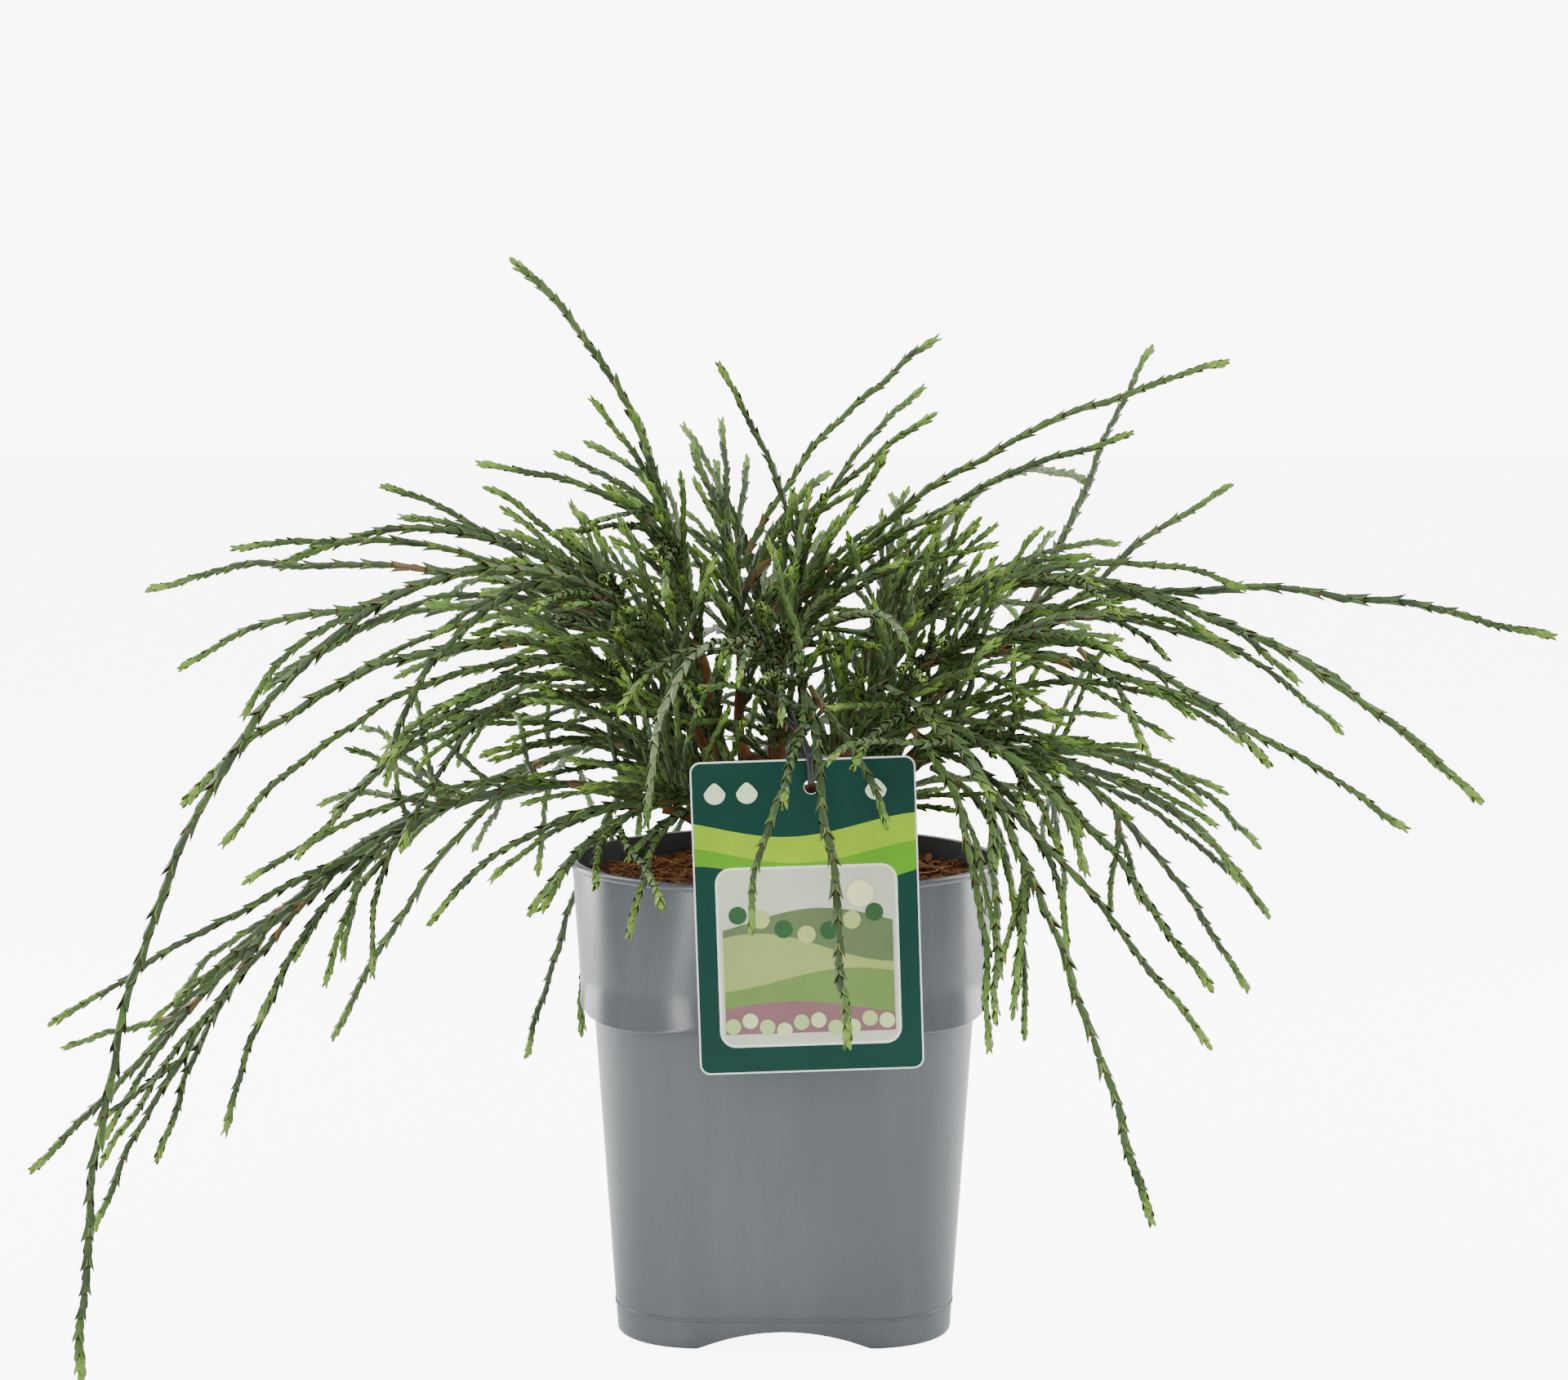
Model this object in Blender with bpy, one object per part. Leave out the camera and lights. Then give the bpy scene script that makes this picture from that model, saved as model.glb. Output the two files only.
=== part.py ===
"""A whipcord western red cedar, the thread-leaved dwarf form, in its three-litre nursery pot.

Metres, +Z up. The origin is on the pot's axis at the floor, and the plant is seen from -Y. A pot that turns
from round at the rim to a rounded square at the foot holds the soil. A short trunk stands on the soil, boughs
leave it all round, and from the tip of each bough 0.3 mm clear grows one mass of foliage: a stem, the arching
whips that leave it and the scale leaves that stand out of them. A printed card hangs in front from a strap.
"""

import math
import random
from dataclasses import dataclass, field

import bmesh
import bpy
import numpy as np
from mathutils import Matrix, Vector

MM = 0.001
GAP = 0.3 * MM  # left between neighbours
UP = np.array((0.0, 0.0, 1.0))

# Pot: round rim, rounded-square foot
POT_HEIGHT = 182 * MM
RIM_RADIUS = 85 * MM
RIM_LIP = 1.5 * MM  # how far the lip stands out of the collar
RIM_LIP_HEIGHT = 3 * MM
COLLAR_RADIUS = 79.5 * MM  # at the collar's lower edge
COLLAR_EDGE = 127 * MM  # mean height of the collar's lower edge
COLLAR_WAVE = 3 * MM  # the edge dips by this at the corners and rises by it mid-side
COLLAR_STEP = 1.2 * MM  # height of the sloping underside of the collar
BODY_TOP = 74.5 * MM  # half width just under the collar
BODY_FOOT = 65 * MM  # half width at the foot
POT_WALL = 1.6 * MM
POT_FLOOR = 10 * MM
FOOT_EDGE = 2 * MM  # rounding under the foot
ARCH_WIDTH = 68 * MM  # of the four arches between the feet
ARCH_RISE = 7 * MM
POT_SIDES = 40
CORNER_SHARES = ((0, COLLAR_EDGE, POT_HEIGHT), (0.5, 0.76, 1.0))  # corner radius as a share of the half width
SHOULDER_HEIGHTS = (134 * MM, 146 * MM)  # of the step inside the wall, behind the collar's edge
SHOULDER_HALVES = (73.4 * MM, 78.6 * MM)

# Soil
SOIL_TOP = 174 * MM
SOIL_ROUGHNESS = 2.4 * MM
SOIL_RINGS = (0.8, 0.52, 0.28)  # shares of the half width
SOIL_CLEAR = 0.6 * MM

# Trunk: a flat cut on the soil, a root flare, and a lean to its tip
TRUNK_FOOT = SOIL_TOP + GAP
TRUNK_TIP = 226 * MM
TRUNK_FLARE = 11 * MM
TRUNK_RADIUS = 7.5 * MM
TRUNK_TIP_RADIUS = 3.4 * MM
TRUNK_LEAN = 3 * MM  # sideways at the tip, towards the left
TRUNK_STATIONS = 8

# Boughs
BOUGH_RADIUS = 2.5 * MM
BOUGH_TIP_RADIUS = 2.0 * MM
BOUGH_COLLAR = 3 * MM  # its level start at the trunk
BOUGH_STATIONS = 3

# Whips and scale leaves
STEM_RADIUS = 2.3 * MM
WHIP_RADIUS = 2.1 * MM
BUD_RADIUS = 2.4 * MM  # the fat bright end of every whip
BUD_LENGTH = 13 * MM
WHIP_STEP = 31 * MM  # length of one straight piece of a whip
LEAF_STEP = 66 * MM  # along a whip, from leaf to leaf
LEAF_LENGTH = 9.5 * MM
LEAF_WIDTH = 2.6 * MM
LEAF_THICKNESS = 1.3 * MM
LEAF_LEAN = 24.0  # degrees out of the whip
SHOULDER = 0.36  # handle of an arch at its root, as a share of its chord
FOLLOW = 0.25  # share of its stem's heading in a side whip's first direction
DROOP = 1.4  # a whip bends this much more at its soft end than at its root
WHIP_CLEAR = 5.6 * MM  # between the middles of whips of two masses
LEAF_CLEAR = 2.9 * MM  # from a leaf's point to the middle of another mass's whip
FLOOR_CLEAR = 22 * MM
TEST_STEP = 3 * MM  # between the points that stand for a whip in these tests
FILL_COUNT = 3  # seeded whips on each mass
MOUND_REACH = 200 * MM  # the dome that seeded whips stay in
MOUND_RISE = 150 * MM
MOUND_MIDDLE = 195 * MM
FILL_TRIALS = 60
SEED = 11
LEAF_TURN = 137.5  # degrees round the whip from leaf to leaf
WELD = 0.001 * MM  # points nearer to each other than this are one

# Card and strap
CARD_WIDTH = 84 * MM
CARD_HEIGHT = 118 * MM
CARD_CORNER = 4 * MM
CARD_THICKNESS = 0.8 * MM
CARD_TURN = 1.9  # degrees, its right side up
CARD_MIDDLE = (8.7 * MM, 171.6 * MM)  # x and z
CARD_BACK = -(RIM_RADIUS + GAP)  # y of its back face, which leans on the rim
CARD_CORNER_STEPS = 3
HOLE_RADIUS = 2.6 * MM
HOLE_SIDES = 12
HOLE_PLACE = (3 * MM, 48.5 * MM)  # from the card's middle, along its own edges
STRAP_RADIUS = 1.0 * MM
STRAP_SHARE = 0.88  # of the front bough's length, where the strap goes round it
STRAP_OUT = (  # mm, through the hole, up the front of the card, over its top edge and back to the bough
    (10.1, -85.7, 221.5),
    (10.1, -88.2, 222.0),
    (10.0, -89.2, 225.0),
    (9.6, -88.8, 230.0),
    (9.0, -86.0, 233.0),
    (6.0, -70.0, 238.0),
    (0.0, -50.0, 242.0),
    (-3.9, -38.0, 243.4),
)
STRAP_BACK = ((4.2, -48.0, 238.0), (8.0, -68.0, 228.5), (10.0, -80.0, 222.6), (10.1, -83.8, 221.5))  # mm


@dataclass(frozen=True)
class Whip:
    """An arching whip by the place of its tip: azimuth in degrees, reach and height in millimetres."""

    azimuth: float
    reach: float
    height: float
    root: float = 0.0  # share of its stem's length at which it leaves
    sag: float = 20.0  # degrees that it leaves above, and ends below, its chord
    hang: float = 0.4  # handle at the tip, as a share of its chord; more of it hangs straight down


@dataclass(frozen=True)
class Limb:
    """A bough and the mass on its tip: where it leaves the trunk, where it ends and the whips it carries."""

    name: str
    azimuth: float
    foot: float  # height on the trunk, mm
    reach: float  # of its tip, mm
    height: float  # of its tip, mm
    pitch: float  # at its tip, degrees
    stem: Whip = None
    whips: tuple = field(default_factory=tuple)


LIMBS = (
    Limb("left_low", 185, 184, 48, 201, 2, Whip(179, 300, 55, sag=9), (
        Whip(174, 293, 99, 0.72, 6), Whip(184, 268, 72, 0.68, 6), Whip(196, 248, 75, 0.56, 8),
        Whip(196, 222, 84, 0.36, 14), Whip(199, 275, 52, 0.44, 10), Whip(171, 250, 118, 0.5, 10))),
    Limb("front_left", 239, 184, 46, 204, 16, Whip(231, 141, 178, sag=24), (
        Whip(247, 143, 172, 0.10, 26), Whip(218, 165, 172, 0.22, 22))),
    Limb("right_low", 336, 184, 46, 214, 34, Whip(322, 197, 151, sag=14), (
        Whip(6, 191, 183, 0.18, 20), Whip(331, 123, 154, 0.12, 34), Whip(352, 178, 176, 0.3, 20))),
    Limb("back_right_low", 30, 184, 46, 206, 16, Whip(33, 238, 105, sag=18), (
        Whip(31, 116, 98, 0.08, 44), Whip(50, 190, 130, 0.3, 20), Whip(15, 205, 150, 0.25, 20))),
    Limb("back_low", 88, 184, 46, 205, 14, Whip(91, 215, 100, sag=20), (
        Whip(72, 190, 120, 0.25, 24), Whip(108, 185, 140, 0.2, 24))),
    Limb("back_left_low", 137, 184, 46, 205, 14, Whip(141, 255, 78, sag=18), (
        Whip(128, 140, 90, 0.08, 44), Whip(156, 225, 125, 0.3, 18), Whip(122, 205, 150, 0.25, 20))),
    Limb("left_front", 208, 193, 48, 231, 46, Whip(211, 252, 220, sag=28), (
        Whip(209, 205, 196, 0.10, 20), Whip(200, 161, 231, 0.16, 18), Whip(194, 178, 205, 0.08, 20))),
    Limb("front_right", 302, 193, 46, 228, 34, Whip(304, 229, 81, sag=16, hang=0.46), (
        Whip(296, 167, 134, 0.10, 40, 0.5), Whip(318, 150, 190, 0.2, 26))),
    Limb("right_front", 323, 202, 44, 238, 46, Whip(328, 208, 232, sag=32), (
        Whip(339, 247, 205, 0.28, 10), Whip(334, 170, 245, 0.2, 18))),
    Limb("right_end", 14, 193, 48, 228, 38, Whip(358, 300, 270, sag=16), (
        Whip(18, 190, 325, 0.26, 6), Whip(25, 140, 295, 0.16, 8), Whip(8, 226, 228, 0.3, 16),
        Whip(40, 203, 380, 0.2, 4))),
    Limb("back_right", 53, 200, 44, 236, 56, Whip(49, 198, 323, sag=36), (
        Whip(60, 205, 262, 0.12, 24), Whip(70, 160, 305, 0.2, 18), Whip(33, 165, 300, 0.1, 16))),
    Limb("back_left", 146, 193, 46, 232, 42, Whip(152, 250, 236, sag=26), (
        Whip(160, 173, 325, 0.2, 12), Whip(135, 215, 268, 0.22, 22), Whip(140, 180, 205, 0.1, 24))),
    Limb("left_long", 221, 202, 42, 240, 50, Whip(221, 321, 31, sag=36, hang=0.82), (
        Whip(209, 249, 268, 0.36, 14), Whip(194, 246, 292, 0.28, 10), Whip(204, 219, 247, 0.32, 18),
        Whip(216, 180, 225, 0.2, 24))),
    Limb("left_upper", 175, 207, 42, 246, 56, Whip(186, 195, 298, sag=34), (
        Whip(191, 213, 306, 0.24, 12), Whip(172, 118, 326, 0.22, 14), Whip(178, 185, 262, 0.16, 22),
        Whip(181, 150, 316, 0.36, 10))),
    Limb("front", 268, 206, 34, 249, 60, Whip(278, 162, 138, sag=20, hang=0.6), (
        Whip(297, 101, 273, 0.05, 48), Whip(252, 158, 215, 0.05, 46, 0.6), Whip(262, 120, 262, 0.1, 30))),
    Limb("right_long", 348, 208, 40, 252, 60, Whip(347, 270, 212, sag=24), (
        Whip(356, 256, 219, 0.3, 14), Whip(340, 205, 258, 0.2, 20), Whip(2, 180, 285, 0.2, 16))),
    Limb("back", 98, 202, 42, 246, 50, Whip(97, 212, 232, sag=28), (
        Whip(64, 134, 364, 0.1, 14), Whip(111, 118, 348, 0.12, 14), Whip(84, 175, 290, 0.2, 20))),
    Limb("top_left", 192, 214, 33, 262, 66, Whip(180, 105, 415, sag=17), (
        Whip(188, 75, 362, 0.32, 5), Whip(199, 62, 358, 0.3, 5), Whip(233, 75, 288, 0.2, 44),
        Whip(171, 122, 336, 0.26, 10), Whip(168, 92, 340, 0.3, 8), Whip(166, 80, 344, 0.36, 6))),
    Limb("top_right", 150, 219, 20, 262, 80, Whip(128, 60, 342, sag=10), (
        Whip(44, 86, 385, 0.3, 10), Whip(19, 62, 355, 0.2, 6), Whip(117, 56, 352, 0.4, 6),
        Whip(75, 70, 330, 0.16, 14))),
    Limb("top", 0, 0, 0, 0, 0, Whip(330, 45, 342, sag=6), (
        Whip(3, 173, 376, 0.44, 10), Whip(352, 135, 349, 0.36, 10), Whip(215, 30, 375, 0.5, 5),
        Whip(330, 80, 322, 0.36, 14))),
)

# Colours as red, green, blue, with roughness
POT_GREY = ((0.19, 0.205, 0.215), 0.42)
SOIL_BROWN = ((0.12, 0.055, 0.022), 0.95)
BARK_BROWN = ((0.21, 0.09, 0.035), 0.85)
LEAF_GREEN = ((0.045, 0.085, 0.022), 0.5)
CARD_GREEN = ((0.14, 0.36, 0.04), 0.35)
STRAP_BLACK = ((0.01, 0.01, 0.011), 0.4)


def unit(vector):
    return vector / np.linalg.norm(vector)


def polar(azimuth, reach, height):
    """A point in metres from an azimuth in degrees, and a reach and a height in millimetres."""
    angle = math.radians(azimuth)
    return np.array((reach * math.cos(angle), reach * math.sin(angle), height)) * MM


def direction(azimuth, pitch):
    """A unit vector, from degrees round and degrees up."""
    level = math.cos(math.radians(pitch))
    return np.array(
        (
            level * math.cos(math.radians(azimuth)),
            level * math.sin(math.radians(azimuth)),
            math.sin(math.radians(pitch)),
        )
    )


def bezier(points, count):
    """Points at even steps of the parameter along a cubic with these four control points."""
    t = np.linspace(0, 1, count + 1)[:, None]
    a, b, c, d = points
    return (1 - t) ** 3 * a + 3 * (1 - t) ** 2 * t * b + 3 * (1 - t) * t**2 * c + t**3 * d


def along(path, lengths):
    """The points at these lengths along a path of points."""
    steps = np.linalg.norm(np.diff(path, axis=0), axis=1)
    run = np.concatenate(((0,), np.cumsum(steps)))
    return np.stack([np.interp(lengths, run, path[:, axis]) for axis in range(3)], axis=1)


def path_length(path):
    return float(np.linalg.norm(np.diff(path, axis=0), axis=1).sum())


def arch(root, tip, heading, follow, sag, hang):
    """A fine path from root to tip that starts between heading and its own rise, and ends drooping."""
    chord = tip - root
    length = np.linalg.norm(chord)
    azimuth = math.degrees(math.atan2(chord[1], chord[0]))
    pitch = math.degrees(math.asin(chord[2] / length))
    launch = unit(follow * heading + (1 - follow) * direction(azimuth, min(pitch + sag, 88)))
    landing = direction(azimuth, max(pitch - DROOP * sag, -89))
    controls = (root, root + length * SHOULDER * launch, tip - length * hang * landing, tip)
    return bezier(controls, 40)


def trunk_middle(height):
    """Centre of the trunk at a height: it leans a little more towards its tip."""
    share = (height - TRUNK_FOOT) / (TRUNK_TIP - TRUNK_FOOT)
    return np.array((-TRUNK_LEAN * share**1.5, 0.0, height))


def trunk_radius(height):
    """Radius of the trunk at a height: a quick flare at the foot, then an even taper."""
    share = (height - TRUNK_FOOT) / (TRUNK_TIP - TRUNK_FOOT)
    return (
        TRUNK_RADIUS
        + (TRUNK_TIP_RADIUS - TRUNK_RADIUS) * share
        + (TRUNK_FLARE - TRUNK_RADIUS) * math.exp(-share * 12)
    )


def bough_path(limb):
    """The middle line of a bough: out of the trunk's side level, then up to its tip."""
    foot = limb.foot * MM
    tip = polar(limb.azimuth, limb.reach, limb.height)
    out = direction(limb.azimuth, 0)
    root = trunk_middle(foot) + out * (trunk_radius(foot - BOUGH_RADIUS) + GAP)
    start = root + out * BOUGH_COLLAR
    span = np.linalg.norm(tip - start)
    controls = (start, start + out * span * 0.4, tip - direction(limb.azimuth, limb.pitch) * span * 0.35, tip)
    return np.vstack((root[None], bezier(controls, BOUGH_STATIONS)))


@dataclass
class Shoot:
    """One grown whip: its smooth path and its radius at the root."""

    path: np.ndarray
    radius: float

    def corners(self):
        """The ends of its straight pieces: the first two give its heading, the last two its bud."""
        length = path_length(self.path)
        count = max(2, round((length - BUD_LENGTH) / WHIP_STEP))
        even = np.linspace(6 * MM, length - BUD_LENGTH, count + 1)
        return along(self.path, np.concatenate(((0,), even, (length - 0.45 * BUD_LENGTH, length))))

    def radii(self):
        """Radius at each corner: an even taper, then the fat bud with its point."""
        taper = np.linspace(self.radius, 0.8 * self.radius, len(self.corners()) - 2)
        return [*taper, BUD_RADIUS, 0.3 * MM]


class Garden:
    """What stands already, as points that a new whip or leaf has to stay clear of."""

    def __init__(self):
        self.points = np.empty((0, 3))
        self.owner = np.empty(0, dtype=int)

    def mark(self, points, owner):
        self.points = np.vstack((self.points, points))
        self.owner = np.concatenate((self.owner, np.full(len(points), owner)))

    def add(self, path, owner):
        self.mark(along(path, np.arange(0, path_length(path), TEST_STEP)), owner)

    def clear(self, points, owner, gap):
        """Whether all these points are further than gap from everything that others own."""
        others = self.points[self.owner != owner]
        if not len(others):
            return True
        span = points[:, None, :] - others[None, :, :]
        return bool((np.einsum("ijk,ijk->ij", span, span) > gap * gap).all())


def clear_of_pot(points, gap):
    """Whether the points stay off the pot, the soil, the card and the floor."""
    reach = np.hypot(points[:, 0], points[:, 1])
    over = points[:, 2] > POT_HEIGHT + gap
    outside = reach > RIM_RADIUS + RIM_LIP + gap
    inside = (reach < RIM_RADIUS - 5 * MM) & (points[:, 2] > SOIL_TOP + SOIL_ROUGHNESS + gap)
    card = (
        (np.abs(points[:, 0] - CARD_MIDDLE[0]) < CARD_WIDTH / 2 + 2 * gap)
        & (np.abs(points[:, 2] - CARD_MIDDLE[1]) < CARD_HEIGHT / 2 + 2 * gap)
        & (points[:, 1] < CARD_BACK + 2 * gap)
        & (points[:, 1] > CARD_BACK - CARD_THICKNESS - 2 * gap)
    )
    return bool(((over | outside | inside) & ~card & (points[:, 2] > FLOOR_CLEAR)).all())


def place_whip(garden, owner, shoot):
    """Keeps a whip if it is clear of all else, and says whether it was kept."""
    corners = shoot.corners()
    fine = along(corners, np.arange(0, path_length(corners), TEST_STEP))
    if not clear_of_pot(fine, 3 * MM) or not garden.clear(fine, owner, WHIP_CLEAR):
        return False
    garden.add(corners, owner)
    return True


def leaving(stem, share):
    """The point on a stem's straight pieces at a share of its length, and the way the stem runs there."""
    corners = stem.corners()
    length = path_length(corners)
    root, ahead = along(corners, (share * length, (share + 0.02) * length))
    return root, unit(ahead - root)


def branch(stem, whip, swing=0.0, lift=0.0):
    """A side whip of a stem, its tip swung round and lifted by a little."""
    root, heading = leaving(stem, whip.root)
    tip = polar(whip.azimuth + swing, whip.reach, whip.height + lift)
    return Shoot(arch(root, tip, heading, FOLLOW, whip.sag, whip.hang), WHIP_RADIUS)


def grow_stem(limb):
    """The stem of a mass, from 0.3 mm past its bough's tip, or the trunk's, to its own tip."""
    if limb.name == "top":
        root = trunk_middle(TRUNK_TIP)
        heading = unit(root - trunk_middle(TRUNK_TIP - 2 * MM))
    else:
        bough = bough_path(limb)
        root = bough[-1]
        heading = unit(bough[-1] - bough[-2])
    start = root + heading * GAP
    tip = polar(limb.stem.azimuth, limb.stem.reach, limb.stem.height)
    path = arch(start + heading * 6 * MM, tip, heading, 1.0, limb.stem.sag, limb.stem.hang)
    return Shoot(np.vstack((start[None], path)), STEM_RADIUS)


def in_mound(point):
    """Whether a tip lies in the dome that seeded whips fill."""
    reach = np.hypot(point[0], point[1]) / MOUND_REACH
    rise = (point[2] - MOUND_MIDDLE) / MOUND_RISE
    return reach**2 + rise**2 < 1 and point[2] > 0.7 * MOUND_MIDDLE


def seeded_whip(stem, chance, side):
    """A side whip by the seeded rule: it leaves the stem at an acute angle, rises and droops."""
    share = chance.uniform(0.04, 0.55)
    root, heading = leaving(stem, share)
    azimuth = math.degrees(math.atan2(heading[1], heading[0])) + side * chance.uniform(16, 60)
    pitch = math.degrees(math.asin(heading[2])) + chance.uniform(-22, 26)
    reach = chance.uniform(55, 125) * MM * (1 - 0.4 * share)
    tip = root + reach * direction(azimuth, min(pitch, 75) - reach / MM * 0.12)
    return Shoot(arch(root, tip, heading, 0.45, reach / MM * 0.2, 0.4), WHIP_RADIUS)


SWAYS = ((0, 0), (2, 3), (-2, 3), (4, -4), (-4, 5), (6, 8), (-6, -8), (9, 12), (-9, 12))  # degrees, mm


def grow_plant():
    """All masses as lists of shoots: first the stems, then the leading whips, then the seeded ones."""
    garden = Garden()
    trunk_line = np.array([trunk_middle(h) for h in np.linspace(TRUNK_FOOT, TRUNK_TIP, 12)])
    garden.add(trunk_line, len(LIMBS) - 1)
    garden.add(np.vstack((np.array(STRAP_OUT), np.array(STRAP_BACK))) * MM, -1)
    masses = []
    for number, limb in enumerate(LIMBS):
        if limb.foot:
            garden.add(bough_path(limb), number)
        masses.append([grow_stem(limb)])
        garden.add(masses[number][0].corners(), number)
    for number, limb in enumerate(LIMBS):
        for whip in limb.whips:
            for swing, lift in SWAYS:
                shoot = branch(masses[number][0], whip, swing, lift)
                if place_whip(garden, number, shoot):
                    masses[number].append(shoot)
                    break
    chance = random.Random(SEED)
    for number in range(len(LIMBS)):
        wanted = len(masses[number]) + FILL_COUNT
        for trial in range(FILL_TRIALS):
            shoot = seeded_whip(masses[number][0], chance, 1 if trial % 2 else -1)
            if in_mound(shoot.path[-1]) and place_whip(garden, number, shoot):
                masses[number].append(shoot)
            if len(masses[number]) == wanted:
                break
    return masses, garden


def material(name, colour, roughness):
    """A plain finish: one colour and one roughness."""
    finish = bpy.data.materials.new(name)
    finish.use_nodes = True
    shader = finish.node_tree.nodes["Principled BSDF"]
    shader.inputs["Base Color"].default_value = (*colour, 1)
    shader.inputs["Roughness"].default_value = roughness
    finish.diffuse_color = (*colour, 1)
    return finish


def new_collection(name):
    made = bpy.data.collections.new(name)
    bpy.context.scene.collection.children.link(made)
    return made


def evaluated_mesh(thing):
    """The mesh of an object as its curve settings and modifiers make it."""
    graph = bpy.context.evaluated_depsgraph_get()
    return bpy.data.meshes.new_from_object(thing.evaluated_get(graph))


def settle(mesh):
    """Welds the seams of a closed mesh and turns its faces outwards."""
    work = bmesh.new()
    work.from_mesh(mesh)
    bmesh.ops.remove_doubles(work, verts=work.verts, dist=WELD)
    bmesh.ops.recalc_face_normals(work, faces=work.faces)
    work.to_mesh(mesh)
    work.free()


def loft(name, rings, collection, finish):
    """A closed body through rings of as many points each, with a flat cap on the first and the last."""
    work = bmesh.new()
    loops = [[work.verts.new(point) for point in ring] for ring in rings]
    for lower, upper in zip(loops, loops[1:]):
        for step in range(len(lower)):
            after = (step + 1) % len(lower)
            work.faces.new((lower[step], lower[after], upper[after], upper[step]))
    bmesh.ops.triangulate(work, faces=work.faces, quad_method="SHORT_EDGE")
    work.faces.new(loops[0][::-1])
    work.faces.new(loops[-1])
    bmesh.ops.recalc_face_normals(work, faces=work.faces)
    mesh = bpy.data.meshes.new(name)
    work.to_mesh(mesh)
    work.free()
    body = bpy.data.objects.new(name, mesh)
    collection.objects.link(body)
    mesh.materials.append(finish)
    return body


def curve_body(name, curve, matrix, collection, finish):
    """The closed mesh of a curve, at its place; the curve itself is removed."""
    guide = bpy.data.objects.new(name, curve)
    collection.objects.link(guide)
    guide.matrix_world = matrix
    mesh = evaluated_mesh(guide)
    bpy.data.objects.remove(guide)
    settle(mesh)
    mesh.name = name
    mesh.materials.clear()
    mesh.materials.append(finish)
    body = bpy.data.objects.new(name, mesh)
    body.matrix_world = matrix
    collection.objects.link(body)
    return body


def poly_spline(curve, points, radii=None, closed=False):
    """Adds straight pieces through these points to a curve."""
    spline = curve.splines.new("POLY")
    spline.points.add(len(points) - 1)
    for number, point in enumerate(points):
        spline.points[number].co = (*point, 1)
        spline.points[number].radius = radii[number] / MM if radii is not None else 1
    spline.use_cyclic_u = closed


def tube(name, points, radii, collection, finish, resolution=None, closed=False):
    """A tube through points with a radius at each: round, or three-sided where no resolution is given."""
    curve = bpy.data.curves.new(name, "CURVE")
    curve.dimensions = "3D"
    curve.use_fill_caps = not closed
    if resolution is None:
        curve.bevel_mode = "OBJECT"
        curve.bevel_object = triangle_profile()
    else:
        curve.bevel_depth = MM
        curve.bevel_resolution = resolution
    poly_spline(curve, points, radii, closed)
    return curve_body(name, curve, Matrix(), collection, finish)


def triangle_profile():
    """The three-sided section of a whip, 1 mm in radius, kept with the cutters."""
    found = bpy.data.objects.get("whip_section")
    if found:
        return found
    curve = bpy.data.curves.new("whip_section", "CURVE")
    curve.dimensions = "2D"
    curve.fill_mode = "NONE"
    turns = [math.radians(120 * step) for step in range(3)]
    poly_spline(curve, [(MM * math.cos(turn), MM * math.sin(turn), 0) for turn in turns], closed=True)
    section = bpy.data.objects.new("whip_section", curve)
    as_tool(section)
    return section


def as_tool(thing):
    """Puts a cutter or a guide in the collection that holds no part."""
    thing.hide_render = True
    thing.display_type = "WIRE"
    for holder in list(thing.users_collection):
        holder.objects.unlink(thing)
    bpy.data.collections["Cutters"].objects.link(thing)


def pot_section(height, half, wave=0.0):
    """A ring of the pot: a square with round corners, whose corners may dip by wave."""
    corner = half * float(np.interp(height, *CORNER_SHARES))
    inner = half - corner
    ring = []
    for step in range(POT_SIDES):
        angle = 2 * math.pi * (step + 0.5) / POT_SIDES
        level = sorted((abs(math.cos(angle)), abs(math.sin(angle))))
        if half * level[0] <= inner * level[1]:
            reach = half / level[1]
        else:
            run = inner * sum(level)
            reach = run + math.sqrt(run**2 - 2 * inner**2 + corner**2)
        rise = height + wave * math.cos(4 * angle)
        ring.append(Vector((reach * math.cos(angle), reach * math.sin(angle), rise)))
    return ring


def inner_half(height):
    """Half width of the space inside the pot at a height."""
    heights = (POT_FLOOR, *SHOULDER_HEIGHTS, POT_HEIGHT)
    halves = (BODY_FOOT - POT_WALL, *SHOULDER_HALVES, RIM_RADIUS - RIM_LIP - POT_WALL)
    return float(np.interp(height, heights, halves))


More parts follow.
